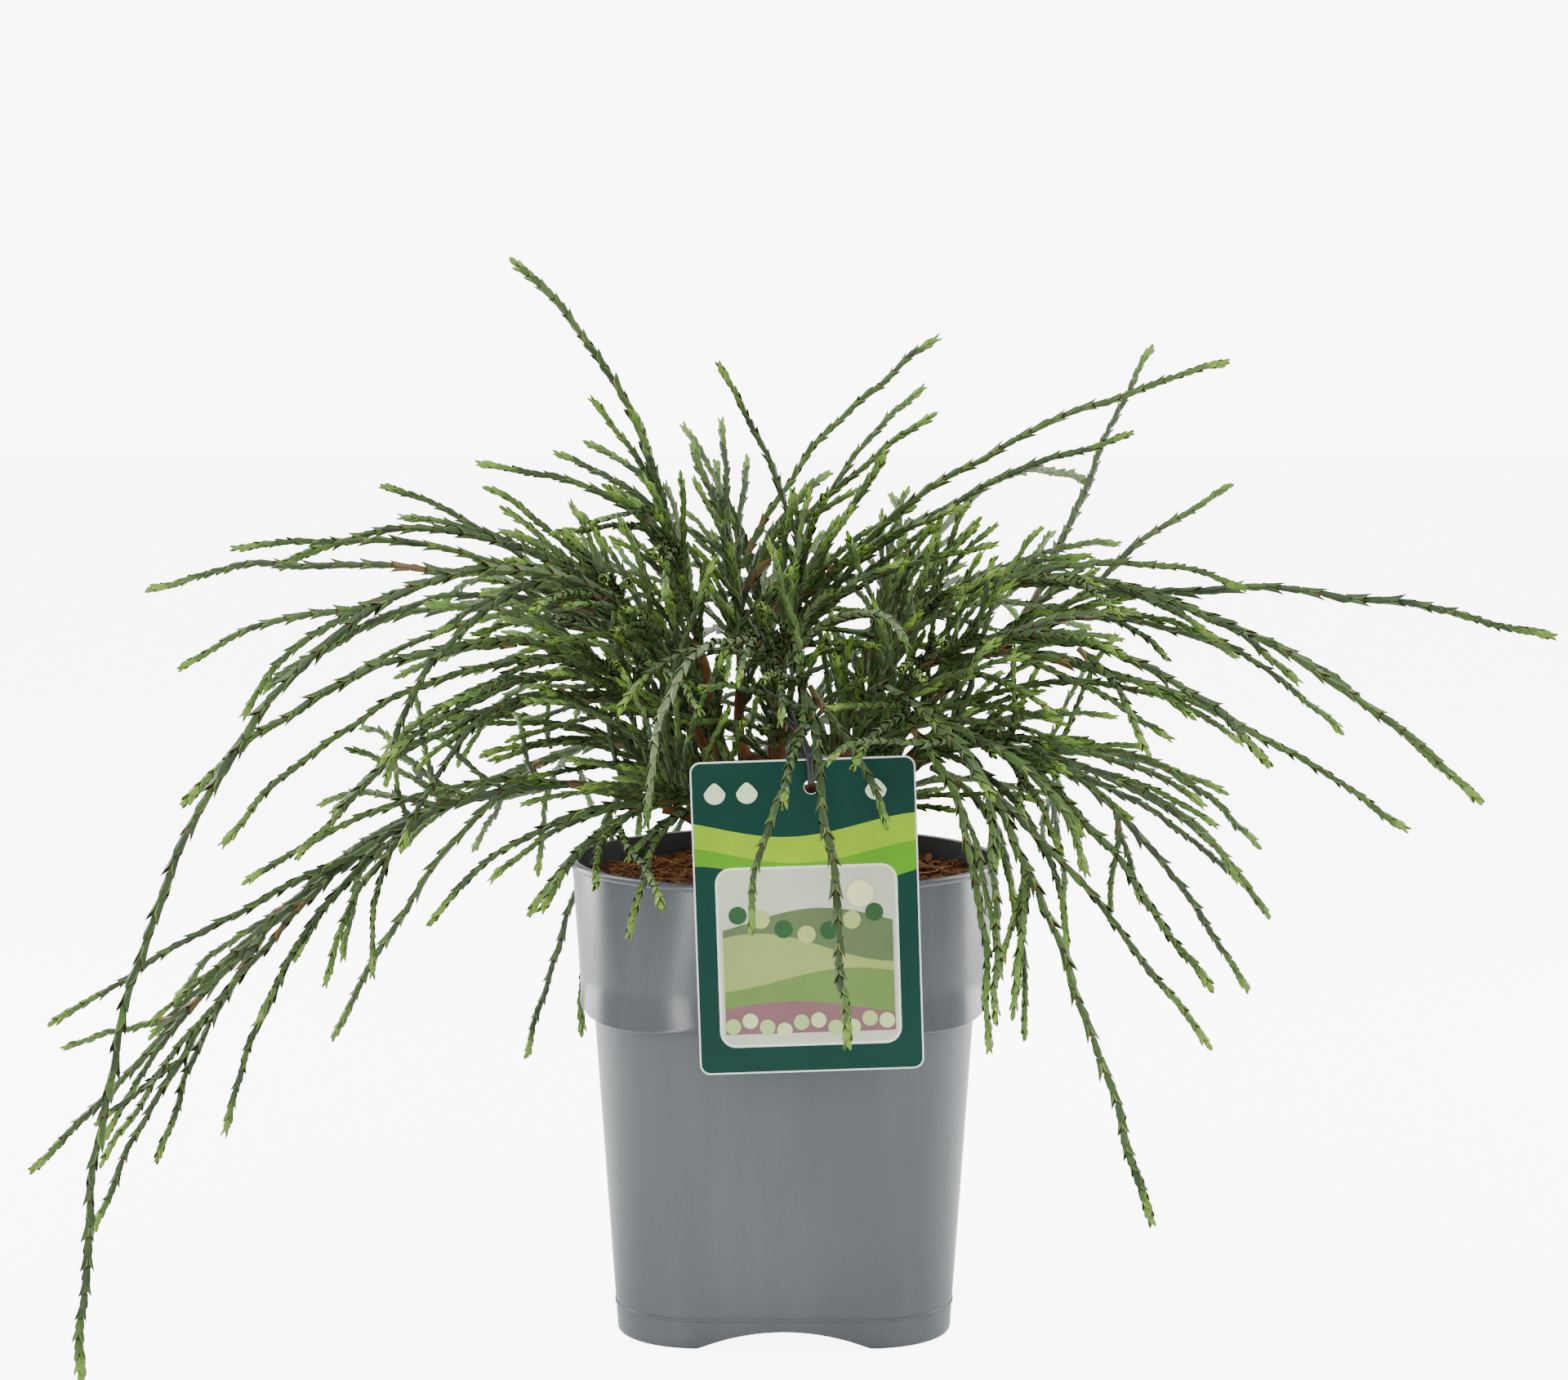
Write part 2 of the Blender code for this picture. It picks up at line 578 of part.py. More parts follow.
def build_pot(collection):
    """The pot: body, collar with its wavy edge, rim lip, and a floor cut by two crossing arched channels."""
    edge = POT_HEIGHT - RIM_LIP_HEIGHT
    outer = (
        pot_section(0, BODY_FOOT - FOOT_EDGE),
        pot_section(FOOT_EDGE, BODY_FOOT),
        pot_section(COLLAR_EDGE - COLLAR_STEP, BODY_TOP, COLLAR_WAVE),
        pot_section(COLLAR_EDGE, COLLAR_RADIUS, COLLAR_WAVE),
        pot_section(edge, RIM_RADIUS - RIM_LIP),
        pot_section(edge + RIM_LIP / 2, RIM_RADIUS),
        pot_section(POT_HEIGHT - RIM_LIP / 2, RIM_RADIUS),
        pot_section(POT_HEIGHT, RIM_RADIUS - RIM_LIP / 2),
    )
    levels = (POT_HEIGHT, SHOULDER_HEIGHTS[1], SHOULDER_HEIGHTS[0], POT_FLOOR)
    inside = [pot_section(level, inner_half(level)) for level in levels]
    pot = loft("pot", [*outer, *inside], collection, material("pot_plastic", *POT_GREY))
    radius = (ARCH_WIDTH**2 / 4 + ARCH_RISE**2) / (2 * ARCH_RISE)
    for turn, name in (((0, math.pi / 2, 0), "arch_along_x"), ((math.pi / 2, 0, 0), "arch_along_y")):
        bpy.ops.mesh.primitive_cylinder_add(
            vertices=96, radius=radius, depth=4 * BODY_FOOT, location=(0, 0, ARCH_RISE - radius), rotation=turn
        )
        cutter = bpy.context.object
        cutter.name = name
        as_tool(cutter)
        channel = pot.modifiers.new(name, "BOOLEAN")
        channel.operation = "DIFFERENCE"
        channel.object = cutter
    return pot


def build_soil(collection):
    """The soil that fills the pot to just under its rim, rough on top and flat where the trunk stands."""
    chance = random.Random(SEED)
    levels = (POT_FLOOR + GAP, *SHOULDER_HEIGHTS, SOIL_TOP)
    rings = [pot_section(level, inner_half(level) - SOIL_CLEAR) for level in levels]
    for share in SOIL_RINGS:
        ring = [point * share for point in rings[len(levels) - 1]]
        for point in ring:
            point.z = SOIL_TOP + chance.uniform(-1, 1) * SOIL_ROUGHNESS
        rings.append(ring)
    flat = [point.xy.normalized() * (TRUNK_FLARE + MM) for point in rings[-1]]
    rings.append([Vector((point.x, point.y, SOIL_TOP)) for point in flat])
    return loft("soil", rings, collection, material("soil", *SOIL_BROWN))


def build_trunk(collection, bark):
    """The short trunk, from its flat cut on the soil to its tip."""
    heights = TRUNK_FOOT + (TRUNK_TIP - TRUNK_FOOT) * np.linspace(0, 1, TRUNK_STATIONS + 1) ** 1.4
    points = [trunk_middle(height) for height in heights]
    radii = [trunk_radius(height) for height in heights]
    return tube("trunk", points, radii, collection, bark, resolution=4)


def build_bough(limb, collection, bark):
    """One tapering bough."""
    radii = np.linspace(BOUGH_RADIUS, BOUGH_TIP_RADIUS, BOUGH_STATIONS + 2)
    return tube(f"bough_{limb.name}", bough_path(limb), radii, collection, bark, resolution=1)


def leaf_mesh(finish):
    """A scale leaf of eight faces, pointed at both ends."""
    work = bmesh.new()
    bmesh.ops.create_uvsphere(work, u_segments=4, v_segments=2, radius=0.5)
    bmesh.ops.scale(work, vec=(LEAF_WIDTH, LEAF_THICKNESS, LEAF_LENGTH), verts=work.verts)
    mesh = bpy.data.meshes.new("leaf")
    work.to_mesh(mesh)
    work.free()
    mesh.materials.append(finish)
    return mesh


def leaf_matrix(root, axis, side):
    """The place of a leaf that grows from root along axis, its flat side turned to the whip."""
    across = np.cross(axis, side)
    turn = Matrix(np.stack((unit(across), unit(np.cross(axis, across)), axis), axis=1).tolist()).to_4x4()
    return Matrix.Translation(Vector(root + axis * LEAF_LENGTH / 2)) @ turn


def leaf_places(shoot, chance):
    """Root, direction and outward side of each leaf of a whip, turned round it from leaf to leaf."""
    corners = shoot.corners()
    length = path_length(corners)
    turn = chance.uniform(0, 360)
    for run in np.arange(0.6 * LEAF_STEP, length - BUD_LENGTH, LEAF_STEP):
        here, ahead = along(corners, (run, run + MM))
        heading = unit(ahead - here)
        level = unit(np.cross(heading, UP) + 1e-6)
        upright = np.cross(level, heading)
        turn += LEAF_TURN
        side = level * math.cos(math.radians(turn)) + upright * math.sin(math.radians(turn))
        lean = math.radians(LEAF_LEAN)
        axis = heading * math.cos(lean) + side * math.sin(lean)
        yield here + side * 0.3 * MM - axis * MM, axis, side


def largest_body(mesh):
    """Keeps only the biggest connected body, and says whether that is closed: hollows and scraps go."""
    work = bmesh.new()
    work.from_mesh(mesh)
    bmesh.ops.remove_doubles(work, verts=work.verts, dist=WELD)
    bmesh.ops.dissolve_degenerate(work, edges=work.edges, dist=WELD)
    bmesh.ops.triangulate(work, faces=work.faces)
    unseen = set(work.verts)
    bodies = []
    while unseen:
        body = {unseen.pop()}
        front = list(body)
        while front:
            near = {edge.other_vert(vert) for vert in front for edge in vert.link_edges} - body
            body |= near
            front = list(near)
        unseen -= body
        bodies.append(body)
    biggest = max(bodies, key=len)
    bmesh.ops.delete(work, geom=[vert for vert in work.verts if vert not in biggest], context="VERTS")
    closed = all(edge.is_manifold for edge in work.edges)
    work.to_mesh(mesh)
    work.free()
    return closed


def fuse(body, others):
    """Joins a body and all objects of a collection into one by a Boolean union, then removes those."""
    join = body.modifiers.new("union", "BOOLEAN")
    join.operation = "UNION"
    join.operand_type = "COLLECTION"
    join.collection = others
    for solver in ("EXACT", "MANIFOLD"):
        join.solver = solver
        mesh = evaluated_mesh(body)
        if largest_body(mesh):
            break
    body.modifiers.clear()
    for thing in list(others.objects):
        bpy.data.objects.remove(thing)
    bpy.data.collections.remove(others)
    mesh.name = body.name
    body.data = mesh


def build_mass(number, shoots, garden, collection, finish, leaf):
    """One mass: its stem with the whips and the leaves that are clear of all other masses fused on."""
    name = f"mass_{LIMBS[number].name}"
    chance = random.Random(SEED + number)
    stem = tube(name, shoots[0].corners(), shoots[0].radii(), collection, finish)
    others = new_collection(f"{name}_twigs")
    for shoot in shoots:
        if shoot is not shoots[0]:
            tube("twig", shoot.corners(), shoot.radii(), others, finish)
        for root, axis, side in leaf_places(shoot, chance):
            outer = np.stack((root + axis * LEAF_LENGTH * 0.6, root + axis * LEAF_LENGTH))
            if not clear_of_pot(outer, MM) or not garden.clear(outer, number, LEAF_CLEAR):
                continue
            garden.mark(outer, number)
            grown = bpy.data.objects.new("leaf", leaf)
            grown.matrix_world = leaf_matrix(root, axis, side)
            others.objects.link(grown)
    fuse(stem, others)
    return stem


def strap_route(front):
    """The strap's closed middle line: through the hole, over the card, round the front bough and back."""
    path = bough_path(front)
    middle, ahead = along(path, (STRAP_SHARE * path_length(path), (STRAP_SHARE + 0.02) * path_length(path)))
    heading = unit(ahead - middle)
    across = unit(np.cross(heading, (0, -1, 0)))
    behind = np.cross(heading, across)
    behind *= math.copysign(1, behind[1])
    radius = BOUGH_TIP_RADIUS + STRAP_RADIUS + 2 * GAP
    turns = [math.radians(angle) for angle in (180, 135, 90, 45, 0)]
    ring = [middle + radius * (abs(across[0]) * np.array((1, 0, 0)) * math.cos(a) + behind * math.sin(a)) for a in turns]
    return np.vstack((np.array(STRAP_OUT) * MM, ring, np.array(STRAP_BACK) * MM))


def smooth_loop(points, pieces):
    """A closed smooth curve through all the points, as this many short straight pieces between each two."""
    made = []
    count = len(points)
    for number in range(count):
        a, b, c, d = (points[(number + shift) % count] for shift in (-1, 0, 1, 2))
        controls = (b, b + (c - a) / 6, c - (d - b) / 6, c)
        made.append(bezier(controls, pieces)[:-1])
    return np.vstack(made)


def build_strap(front, collection):
    """The strap that the card hangs from."""
    points = smooth_loop(strap_route(front), 2)
    radii = [STRAP_RADIUS] * len(points)
    finish = material("strap_plastic", *STRAP_BLACK)
    return tube("tag_strap", points, radii, collection, finish, resolution=0, closed=True)


def build_card(collection):
    """The card: a thin plate with round corners and a punched hole, leaning on the rim."""
    curve = bpy.data.curves.new("plant_tag", "CURVE")
    curve.dimensions = "2D"
    curve.fill_mode = "BOTH"
    curve.extrude = CARD_THICKNESS / 2
    outline = []
    for quarter, (side, top) in enumerate(((1, 1), (-1, 1), (-1, -1), (1, -1))):
        for step in range(CARD_CORNER_STEPS + 1):
            angle = math.radians(90 * (quarter + step / CARD_CORNER_STEPS))
            x = side * (CARD_WIDTH / 2 - CARD_CORNER) + CARD_CORNER * math.cos(angle)
            y = top * (CARD_HEIGHT / 2 - CARD_CORNER) + CARD_CORNER * math.sin(angle)
            outline.append((x, y, 0))
    poly_spline(curve, outline, closed=True)
    turns = [math.radians(360 * step / HOLE_SIDES) for step in range(HOLE_SIDES)]
    hole = [
        (HOLE_PLACE[0] + HOLE_RADIUS * math.cos(turn), HOLE_PLACE[1] + HOLE_RADIUS * math.sin(turn), 0)
        for turn in turns
    ]
    poly_spline(curve, hole, closed=True)
    place = Matrix.Translation((CARD_MIDDLE[0], CARD_BACK - CARD_THICKNESS / 2, CARD_MIDDLE[1]))
    stand = Matrix.Rotation(math.radians(-CARD_TURN), 4, "Y") @ Matrix.Rotation(math.pi / 2, 4, "X")
    return curve_body("plant_tag", curve, place @ stand, collection, material("card", *CARD_GREEN))


def smooth_rounds(body):
    """Shades a round piece smooth, except across its sharp edges."""
    body.data.shade_smooth()
    body.data.set_sharp_from_angle(angle=math.radians(40))


def main():
    for thing in list(bpy.data.objects):
        bpy.data.objects.remove(thing)
    plant = new_collection("Whipcord_red_cedar")
    new_collection("Cutters")
    bark = material("bark", *BARK_BROWN)
    foliage = material("foliage", *LEAF_GREEN)
    rounds = [build_pot(plant), build_soil(plant), build_trunk(plant, bark)]
    masses, garden = grow_plant()
    leaf = leaf_mesh(foliage)
    for number, limb in enumerate(LIMBS):
        if limb.foot:
            rounds.append(build_bough(limb, plant, bark))
        build_mass(number, masses[number], garden, plant, foliage, leaf)
    front = next(limb for limb in LIMBS if limb.name == "front")
    rounds.append(build_strap(front, plant))
    build_card(plant)
    for body in rounds:
        smooth_rounds(body)


if __name__ == "__main__":
    main()
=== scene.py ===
"""A whipcord western red cedar in its three-litre nursery pot, dressed for a studio photograph.

Metres, +Z up, seen from -Y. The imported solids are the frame. The foliage grows again by the rule of the
solids, goes on to finer twigs, and is strung with pairs of scale leaves; bark, soil, pot, card and strap
are finished surfaces in the places of their solids.
"""

import logging
import math
import random
from dataclasses import dataclass, field
from enum import Enum
from typing import Callable, Iterable, Optional, Sequence

import bmesh
import bpy
import numpy as np
from mathutils import Matrix, Vector


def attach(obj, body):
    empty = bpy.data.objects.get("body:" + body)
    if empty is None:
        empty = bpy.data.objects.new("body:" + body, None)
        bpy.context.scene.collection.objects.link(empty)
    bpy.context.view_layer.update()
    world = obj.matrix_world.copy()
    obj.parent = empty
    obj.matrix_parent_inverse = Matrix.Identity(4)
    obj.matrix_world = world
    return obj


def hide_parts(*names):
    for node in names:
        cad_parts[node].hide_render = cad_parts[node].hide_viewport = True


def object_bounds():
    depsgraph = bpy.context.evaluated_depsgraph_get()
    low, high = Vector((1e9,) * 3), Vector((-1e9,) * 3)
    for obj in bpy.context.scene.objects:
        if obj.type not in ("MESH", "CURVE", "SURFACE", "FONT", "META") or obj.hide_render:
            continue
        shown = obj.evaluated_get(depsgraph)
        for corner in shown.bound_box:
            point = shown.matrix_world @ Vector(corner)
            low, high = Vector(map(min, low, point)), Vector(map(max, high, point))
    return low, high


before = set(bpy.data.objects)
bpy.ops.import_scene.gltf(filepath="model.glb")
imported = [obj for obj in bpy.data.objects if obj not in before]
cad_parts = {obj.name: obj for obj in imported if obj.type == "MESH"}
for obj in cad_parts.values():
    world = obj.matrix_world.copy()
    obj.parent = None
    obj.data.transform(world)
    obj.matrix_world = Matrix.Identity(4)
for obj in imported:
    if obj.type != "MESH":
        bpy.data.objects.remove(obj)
CAD_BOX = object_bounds()

LOG = logging.getLogger("cedar")
MM = 0.001
GAP = 0.3 * MM
UP = np.array((0.0, 0.0, 1.0))
BODY = "root"
Colour = tuple[float, float, float]
Outline = Sequence[tuple[float, float]]
Curve = Callable[[float], float]


# Small tools


def unit(vector: np.ndarray) -> np.ndarray:
    """The vector at length one."""
    return vector / np.linalg.norm(vector)


def srgb(red: int, green: int, blue: int) -> Colour:
    """A linear colour from its 0 to 255 screen values."""
    shares = [value / 255 for value in (red, green, blue)]
    return tuple(share / 12.92 if share < 0.04 else ((share + 0.055) / 1.055) ** 2.4 for share in shares)


def polar(azimuth: float, reach: float, height: float) -> np.ndarray:
    """A point in metres from an azimuth in degrees, and a reach and a height in millimetres."""
    angle = math.radians(azimuth)
    return np.array((reach * math.cos(angle), reach * math.sin(angle), height)) * MM


def direction(azimuth: float, pitch: float) -> np.ndarray:
    """A unit vector, from degrees round and degrees up.

    Args:
        azimuth: Degrees round from +X.
        pitch: Degrees up from level.

    Returns:
        The vector.
    """
    level = math.cos(math.radians(pitch))
    angle = math.radians(azimuth)
    return np.array((level * math.cos(angle), level * math.sin(angle), math.sin(math.radians(pitch))))


def bezier(points: Sequence[np.ndarray], count: int) -> np.ndarray:
    """Points at even steps of the parameter along a cubic with these four control points.

    Args:
        points: The four control points.
        count: How many steps.

    Returns:
        The points, one more than the steps.
    """
    t = np.linspace(0, 1, count + 1)[:, None]
    a, b, c, d = points
    return (1 - t) ** 3 * a + 3 * (1 - t) ** 2 * t * b + 3 * (1 - t) * t**2 * c + t**3 * d


def along(path: np.ndarray, lengths: Iterable[float]) -> np.ndarray:
    """The points at these lengths along a path of points.

    Args:
        path: The points of the path.
        lengths: Distances from its start.

    Returns:
        A point for each length.
    """
    steps = np.linalg.norm(np.diff(path, axis=0), axis=1)
    run = np.concatenate(((0,), np.cumsum(steps)))
    return np.stack([np.interp(lengths, run, path[:, axis]) for axis in range(3)], axis=1)


def path_length(path: np.ndarray) -> float:
    """The length of a path of points."""
    return float(np.linalg.norm(np.diff(path, axis=0), axis=1).sum())


def frames_along(path: np.ndarray) -> tuple[np.ndarray, np.ndarray, np.ndarray]:
    """Directions at every point of a path that turn with it and never twist.

    Args:
        path: The points of the path.

    Returns:
        The heading, and two directions across it, at each point.
    """
    ahead = np.gradient(path, axis=0)
    ahead /= np.linalg.norm(ahead, axis=1)[:, None]
    side = np.cross(ahead[0], UP if abs(ahead[0][2]) < 0.9 else np.array((1.0, 0, 0)))
    sides = []
    for heading in ahead:
        side = unit(side - heading * side.dot(heading))
        sides.append(side)
    sides = np.array(sides)
    return ahead, sides, np.cross(ahead, sides)


def new_object(name: str, mesh: bpy.types.Mesh, finish: Optional[bpy.types.Material] = None) -> bpy.types.Object:
    """Links an object for a mesh, at the origin.

    Args:
        name: The object's name.
        mesh: Its mesh, in place.
        finish: The material that the whole mesh takes, where it has none yet.

    Returns:
        The object.
    """
    body = bpy.data.objects.new(name, mesh)
    bpy.context.scene.collection.objects.link(body)
    if finish:
        mesh.materials.clear()
        mesh.materials.append(finish)
    return body


def as_mesh(thing: bpy.types.Object, name: str) -> bpy.types.Mesh:
    """The mesh of an object as its modifiers and curve settings make it; the object is removed.

    Args:
        thing: The object.
        name: The mesh's name.

    Returns:
        The mesh, in place.
    """
    graph = bpy.context.evaluated_depsgraph_get()
    mesh = bpy.data.meshes.new_from_object(thing.evaluated_get(graph))
    mesh.transform(thing.matrix_world)
    bpy.data.objects.remove(thing)
    mesh.name = name
    return mesh


def mesh_of(name: str, points: np.ndarray, faces: Sequence[Sequence[int]], smooth: bool = True) -> bpy.types.Mesh:
    """A mesh from points and faces worked out elsewhere.

    Args:
        name: The mesh's name.
        points: Its points.
        faces: The numbers of each face's points.
        smooth: Whether it is shaded smooth.

    Returns:
        The mesh.
    """
    mesh = bpy.data.meshes.new(name)
    mesh.from_pydata([tuple(point) for point in points], [], faces)
    if smooth:
        mesh.shade_smooth()
    return mesh


def loft(name: str, rings: Sequence[Sequence[Vector]], caps: tuple[bool, bool] = (True, True)) -> bpy.types.Mesh:
    """A surface through rings of as many points each.

    Args:
        name: The mesh's name.
        rings: The rings, each as many points.
        caps: Whether the first and the last ring are filled.

    Returns:
        The mesh, its faces turned outwards.
    """
    work = bmesh.new()
    loops = [[work.verts.new(point) for point in ring] for ring in rings]
    for lower, upper in zip(loops, loops[1:]):
        for step in range(len(lower)):
            after = (step + 1) % len(lower)
            work.faces.new((lower[step], lower[after], upper[after], upper[step]))
    if caps[0]:
        work.faces.new(loops[0][::-1])
    if caps[1]:
        work.faces.new(loops[-1])
    bmesh.ops.recalc_face_normals(work, faces=work.faces)
    mesh = bpy.data.meshes.new(name)
    work.to_mesh(mesh)
    work.free()
    return mesh


def joined(name: str, meshes: Sequence[bpy.types.Mesh]) -> bpy.types.Mesh:
    """One mesh from several.

    Args:
        name: The mesh's name.
        meshes: What it is made of.

    Returns:
        The mesh.
    """
    work = bmesh.new()
    for mesh in meshes:
        work.from_mesh(mesh)
    made = bpy.data.meshes.new(name)
    work.to_mesh(made)
    work.free()
    return made


def finish_piece(body: bpy.types.Object, slot: str, *nodes: str) -> bpy.types.Object:
    """Seats a finished piece on the plant's body and hides the solids that it stands for.

    Args:
        body: The piece.
        slot: The name of a material slot; not used.
        nodes: The solids that it stands for.

    Returns:
        The piece.
    """
    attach(body, BODY)
    if nodes:
        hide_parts(*nodes)
    triangles = sum(len(face.vertices) - 2 for face in body.data.polygons)
    LOG.info("%s: %d triangles", body.name, triangles)
    return body


# Trees of nodes


class Tree:
    """A node tree under construction, with short calls for its nodes, links and sockets."""

    def __init__(self, tree: bpy.types.NodeTree) -> None:
        """Starts on a tree that may already hold nodes."""
        self.tree = tree

    def add(self, kind: str, inputs: Optional[dict] = None, **settings) -> bpy.types.Node:
        """Adds a node.

        Args:
            kind: The node's type name.
            inputs: Socket name or number to a value or to the output socket that feeds it.
            settings: Properties of the node itself.

        Returns:
            The node.
        """
        node = self.tree.nodes.new(kind)
        for key, value in settings.items():
            setattr(node, key, value)
        for key, value in (inputs or {}).items():
            if isinstance(value, bpy.types.NodeSocket):
                self.tree.links.new(value, node.inputs[key])
            else:
                node.inputs[key].default_value = value
        return node

    def socket(self, name: str, kind: str, output: bool = False, value: object = None) -> None:
        """Adds a named socket to a group's interface, with its default value.

        Args:
            name: The socket's name.
            kind: Its type name.
            output: Whether it is an output.
            value: Its default value.
        """
        made = self.tree.interface.new_socket(name, in_out="OUTPUT" if output else "INPUT", socket_type=kind)
        if value is not None:
            made.default_value = value


def shader_group(name: str) -> Tree:
    """An empty shader group."""
    return Tree(bpy.data.node_groups.new(name, "ShaderNodeTree"))


def noise_on_place(group: Tree, given: bpy.types.Node, detail: float) -> bpy.types.Node:
    """Noise on Object coordinates, by a group's own Scale and Stretch.

    Args:
        group: The group under construction.
        given: Its input node.
        detail: Octaves of the noise.

    Returns:
        The noise node.
    """
    place = group.add("ShaderNodeTexCoord")
    turned = group.add("ShaderNodeMapping", {"Vector": place.outputs["Object"], "Scale": given.outputs["Stretch"]})
    return group.add(
        "ShaderNodeTexNoise", {"Vector": turned.outputs[0], "Scale": given.outputs["Scale"], "Detail": detail}
    )


def mottle_group() -> bpy.types.NodeTree:
    """Two tints mixed by noise on Object coordinates, and the mask that mixes them.

    Returns:
        The group, built on first use.
    """
    name = "mottle"
    if name in bpy.data.node_groups:
        return bpy.data.node_groups[name]
    group = shader_group(name)
    group.socket("Tint", "NodeSocketColor")
    group.socket("Shade", "NodeSocketColor")
    group.socket("Scale", "NodeSocketFloat", value=100.0)
    group.socket("Stretch", "NodeSocketVector", value=(1, 1, 1))
    group.socket("Color", "NodeSocketColor", output=True)
    group.socket("Mask", "NodeSocketFloat", output=True)
    given = group.add("NodeGroupInput")
    noise = noise_on_place(group, given, 3.0)
    sharp = group.add(
        "ShaderNodeMapRange", {"Value": noise.outputs["Fac"], "From Min": 0.36, "From Max": 0.64}, clamp=True
    )
    mix = group.add("ShaderNodeMix", {"Factor": sharp.outputs[0]}, data_type="RGBA")
    group.tree.links.new(given.outputs["Tint"], mix.inputs[6])
    group.tree.links.new(given.outputs["Shade"], mix.inputs[7])
    group.add("NodeGroupOutput", {"Color": mix.outputs[2], "Mask": sharp.outputs[0]})
    return group.tree


def relief_group() -> bpy.types.NodeTree:
    """A normal roughened by noise on Object coordinates.

    Returns:
        The group, built on first use.
    """
    name = "relief"
    if name in bpy.data.node_groups:
        return bpy.data.node_groups[name]
    group = shader_group(name)
    group.socket("Scale", "NodeSocketFloat", value=400.0)
    group.socket("Stretch", "NodeSocketVector", value=(1, 1, 1))
    group.socket("Depth", "NodeSocketFloat", value=0.0002)
    group.socket("Normal", "NodeSocketVector", output=True)
    given = group.add("NodeGroupInput")
    noise = noise_on_place(group, given, 4.0)
    bump = group.add("ShaderNodeBump", {"Height": noise.outputs["Fac"], "Distance": given.outputs["Depth"]})
    group.add("NodeGroupOutput", {"Normal": bump.outputs["Normal"]})
    return group.tree


@dataclass(frozen=True)
class Finish:
    """A mottled, slightly rough finish.

    Its two tints are mixed in patches of about 1 / scale metres, which stretch may draw out.
    """

    name: str
    tint: Colour
    shade: Colour
    roughness: float = 0.5
    scale: float = 120.0
    stretch: tuple[float, float, float] = (1.0, 1.0, 1.0)
    relief_scale: float = 600.0
    relief_depth: float = 0.0
    specular: float = 0.5

    def make(self) -> bpy.types.Material:
        """The material, built on first use.

        Returns:
            The material.
        """
        if self.name in bpy.data.materials:
            return bpy.data.materials[self.name]
        made = bpy.data.materials.new(self.name)
        made.use_nodes = True
        made.diffuse_color = (*self.tint, 1)
        tree = Tree(made.node_tree)
        shader = made.node_tree.nodes["Principled BSDF"]
        shader.inputs["Specular IOR Level"].default_value = self.specular
        shader.inputs["Roughness"].default_value = self.roughness
        mottle = tree.add("ShaderNodeGroup", node_tree=mottle_group())
        mottle.inputs["Tint"].default_value = (*self.tint, 1)
        mottle.inputs["Shade"].default_value = (*self.shade, 1)
        mottle.inputs["Scale"].default_value = self.scale
        mottle.inputs["Stretch"].default_value = self.stretch
        tree.tree.links.new(mottle.outputs["Color"], shader.inputs["Base Color"])
        if self.relief_depth:
            relief = tree.add("ShaderNodeGroup", node_tree=relief_group())
            relief.inputs["Scale"].default_value = self.relief_scale
            relief.inputs["Stretch"].default_value = self.stretch
            relief.inputs["Depth"].default_value = self.relief_depth
            tree.tree.links.new(relief.outputs["Normal"], shader.inputs["Normal"])
        return made


# The growth rule of the solids


@dataclass(frozen=True)
class Whip:
    """An arching whip by the place of its tip: azimuth in degrees, reach and height in millimetres."""

    azimuth: float
    reach: float
    height: float
    root: float = 0.0  # share of its stem's length at which it leaves
    sag: float = 20.0  # degrees that it leaves above, and ends below, its chord
    hang: float = 0.4  # handle at the tip, as a share of its chord


@dataclass(frozen=True)
class Limb:
    """A bough and the mass on its tip: where it leaves the trunk, where it ends and the whips it carries."""

    name: str
    azimuth: float
    foot: float  # height on the trunk, mm
    reach: float  # of its tip, mm
    height: float  # of its tip, mm
    pitch: float  # at its tip, degrees
    stem: Whip
    whips: tuple[Whip, ...] = field(default_factory=tuple)


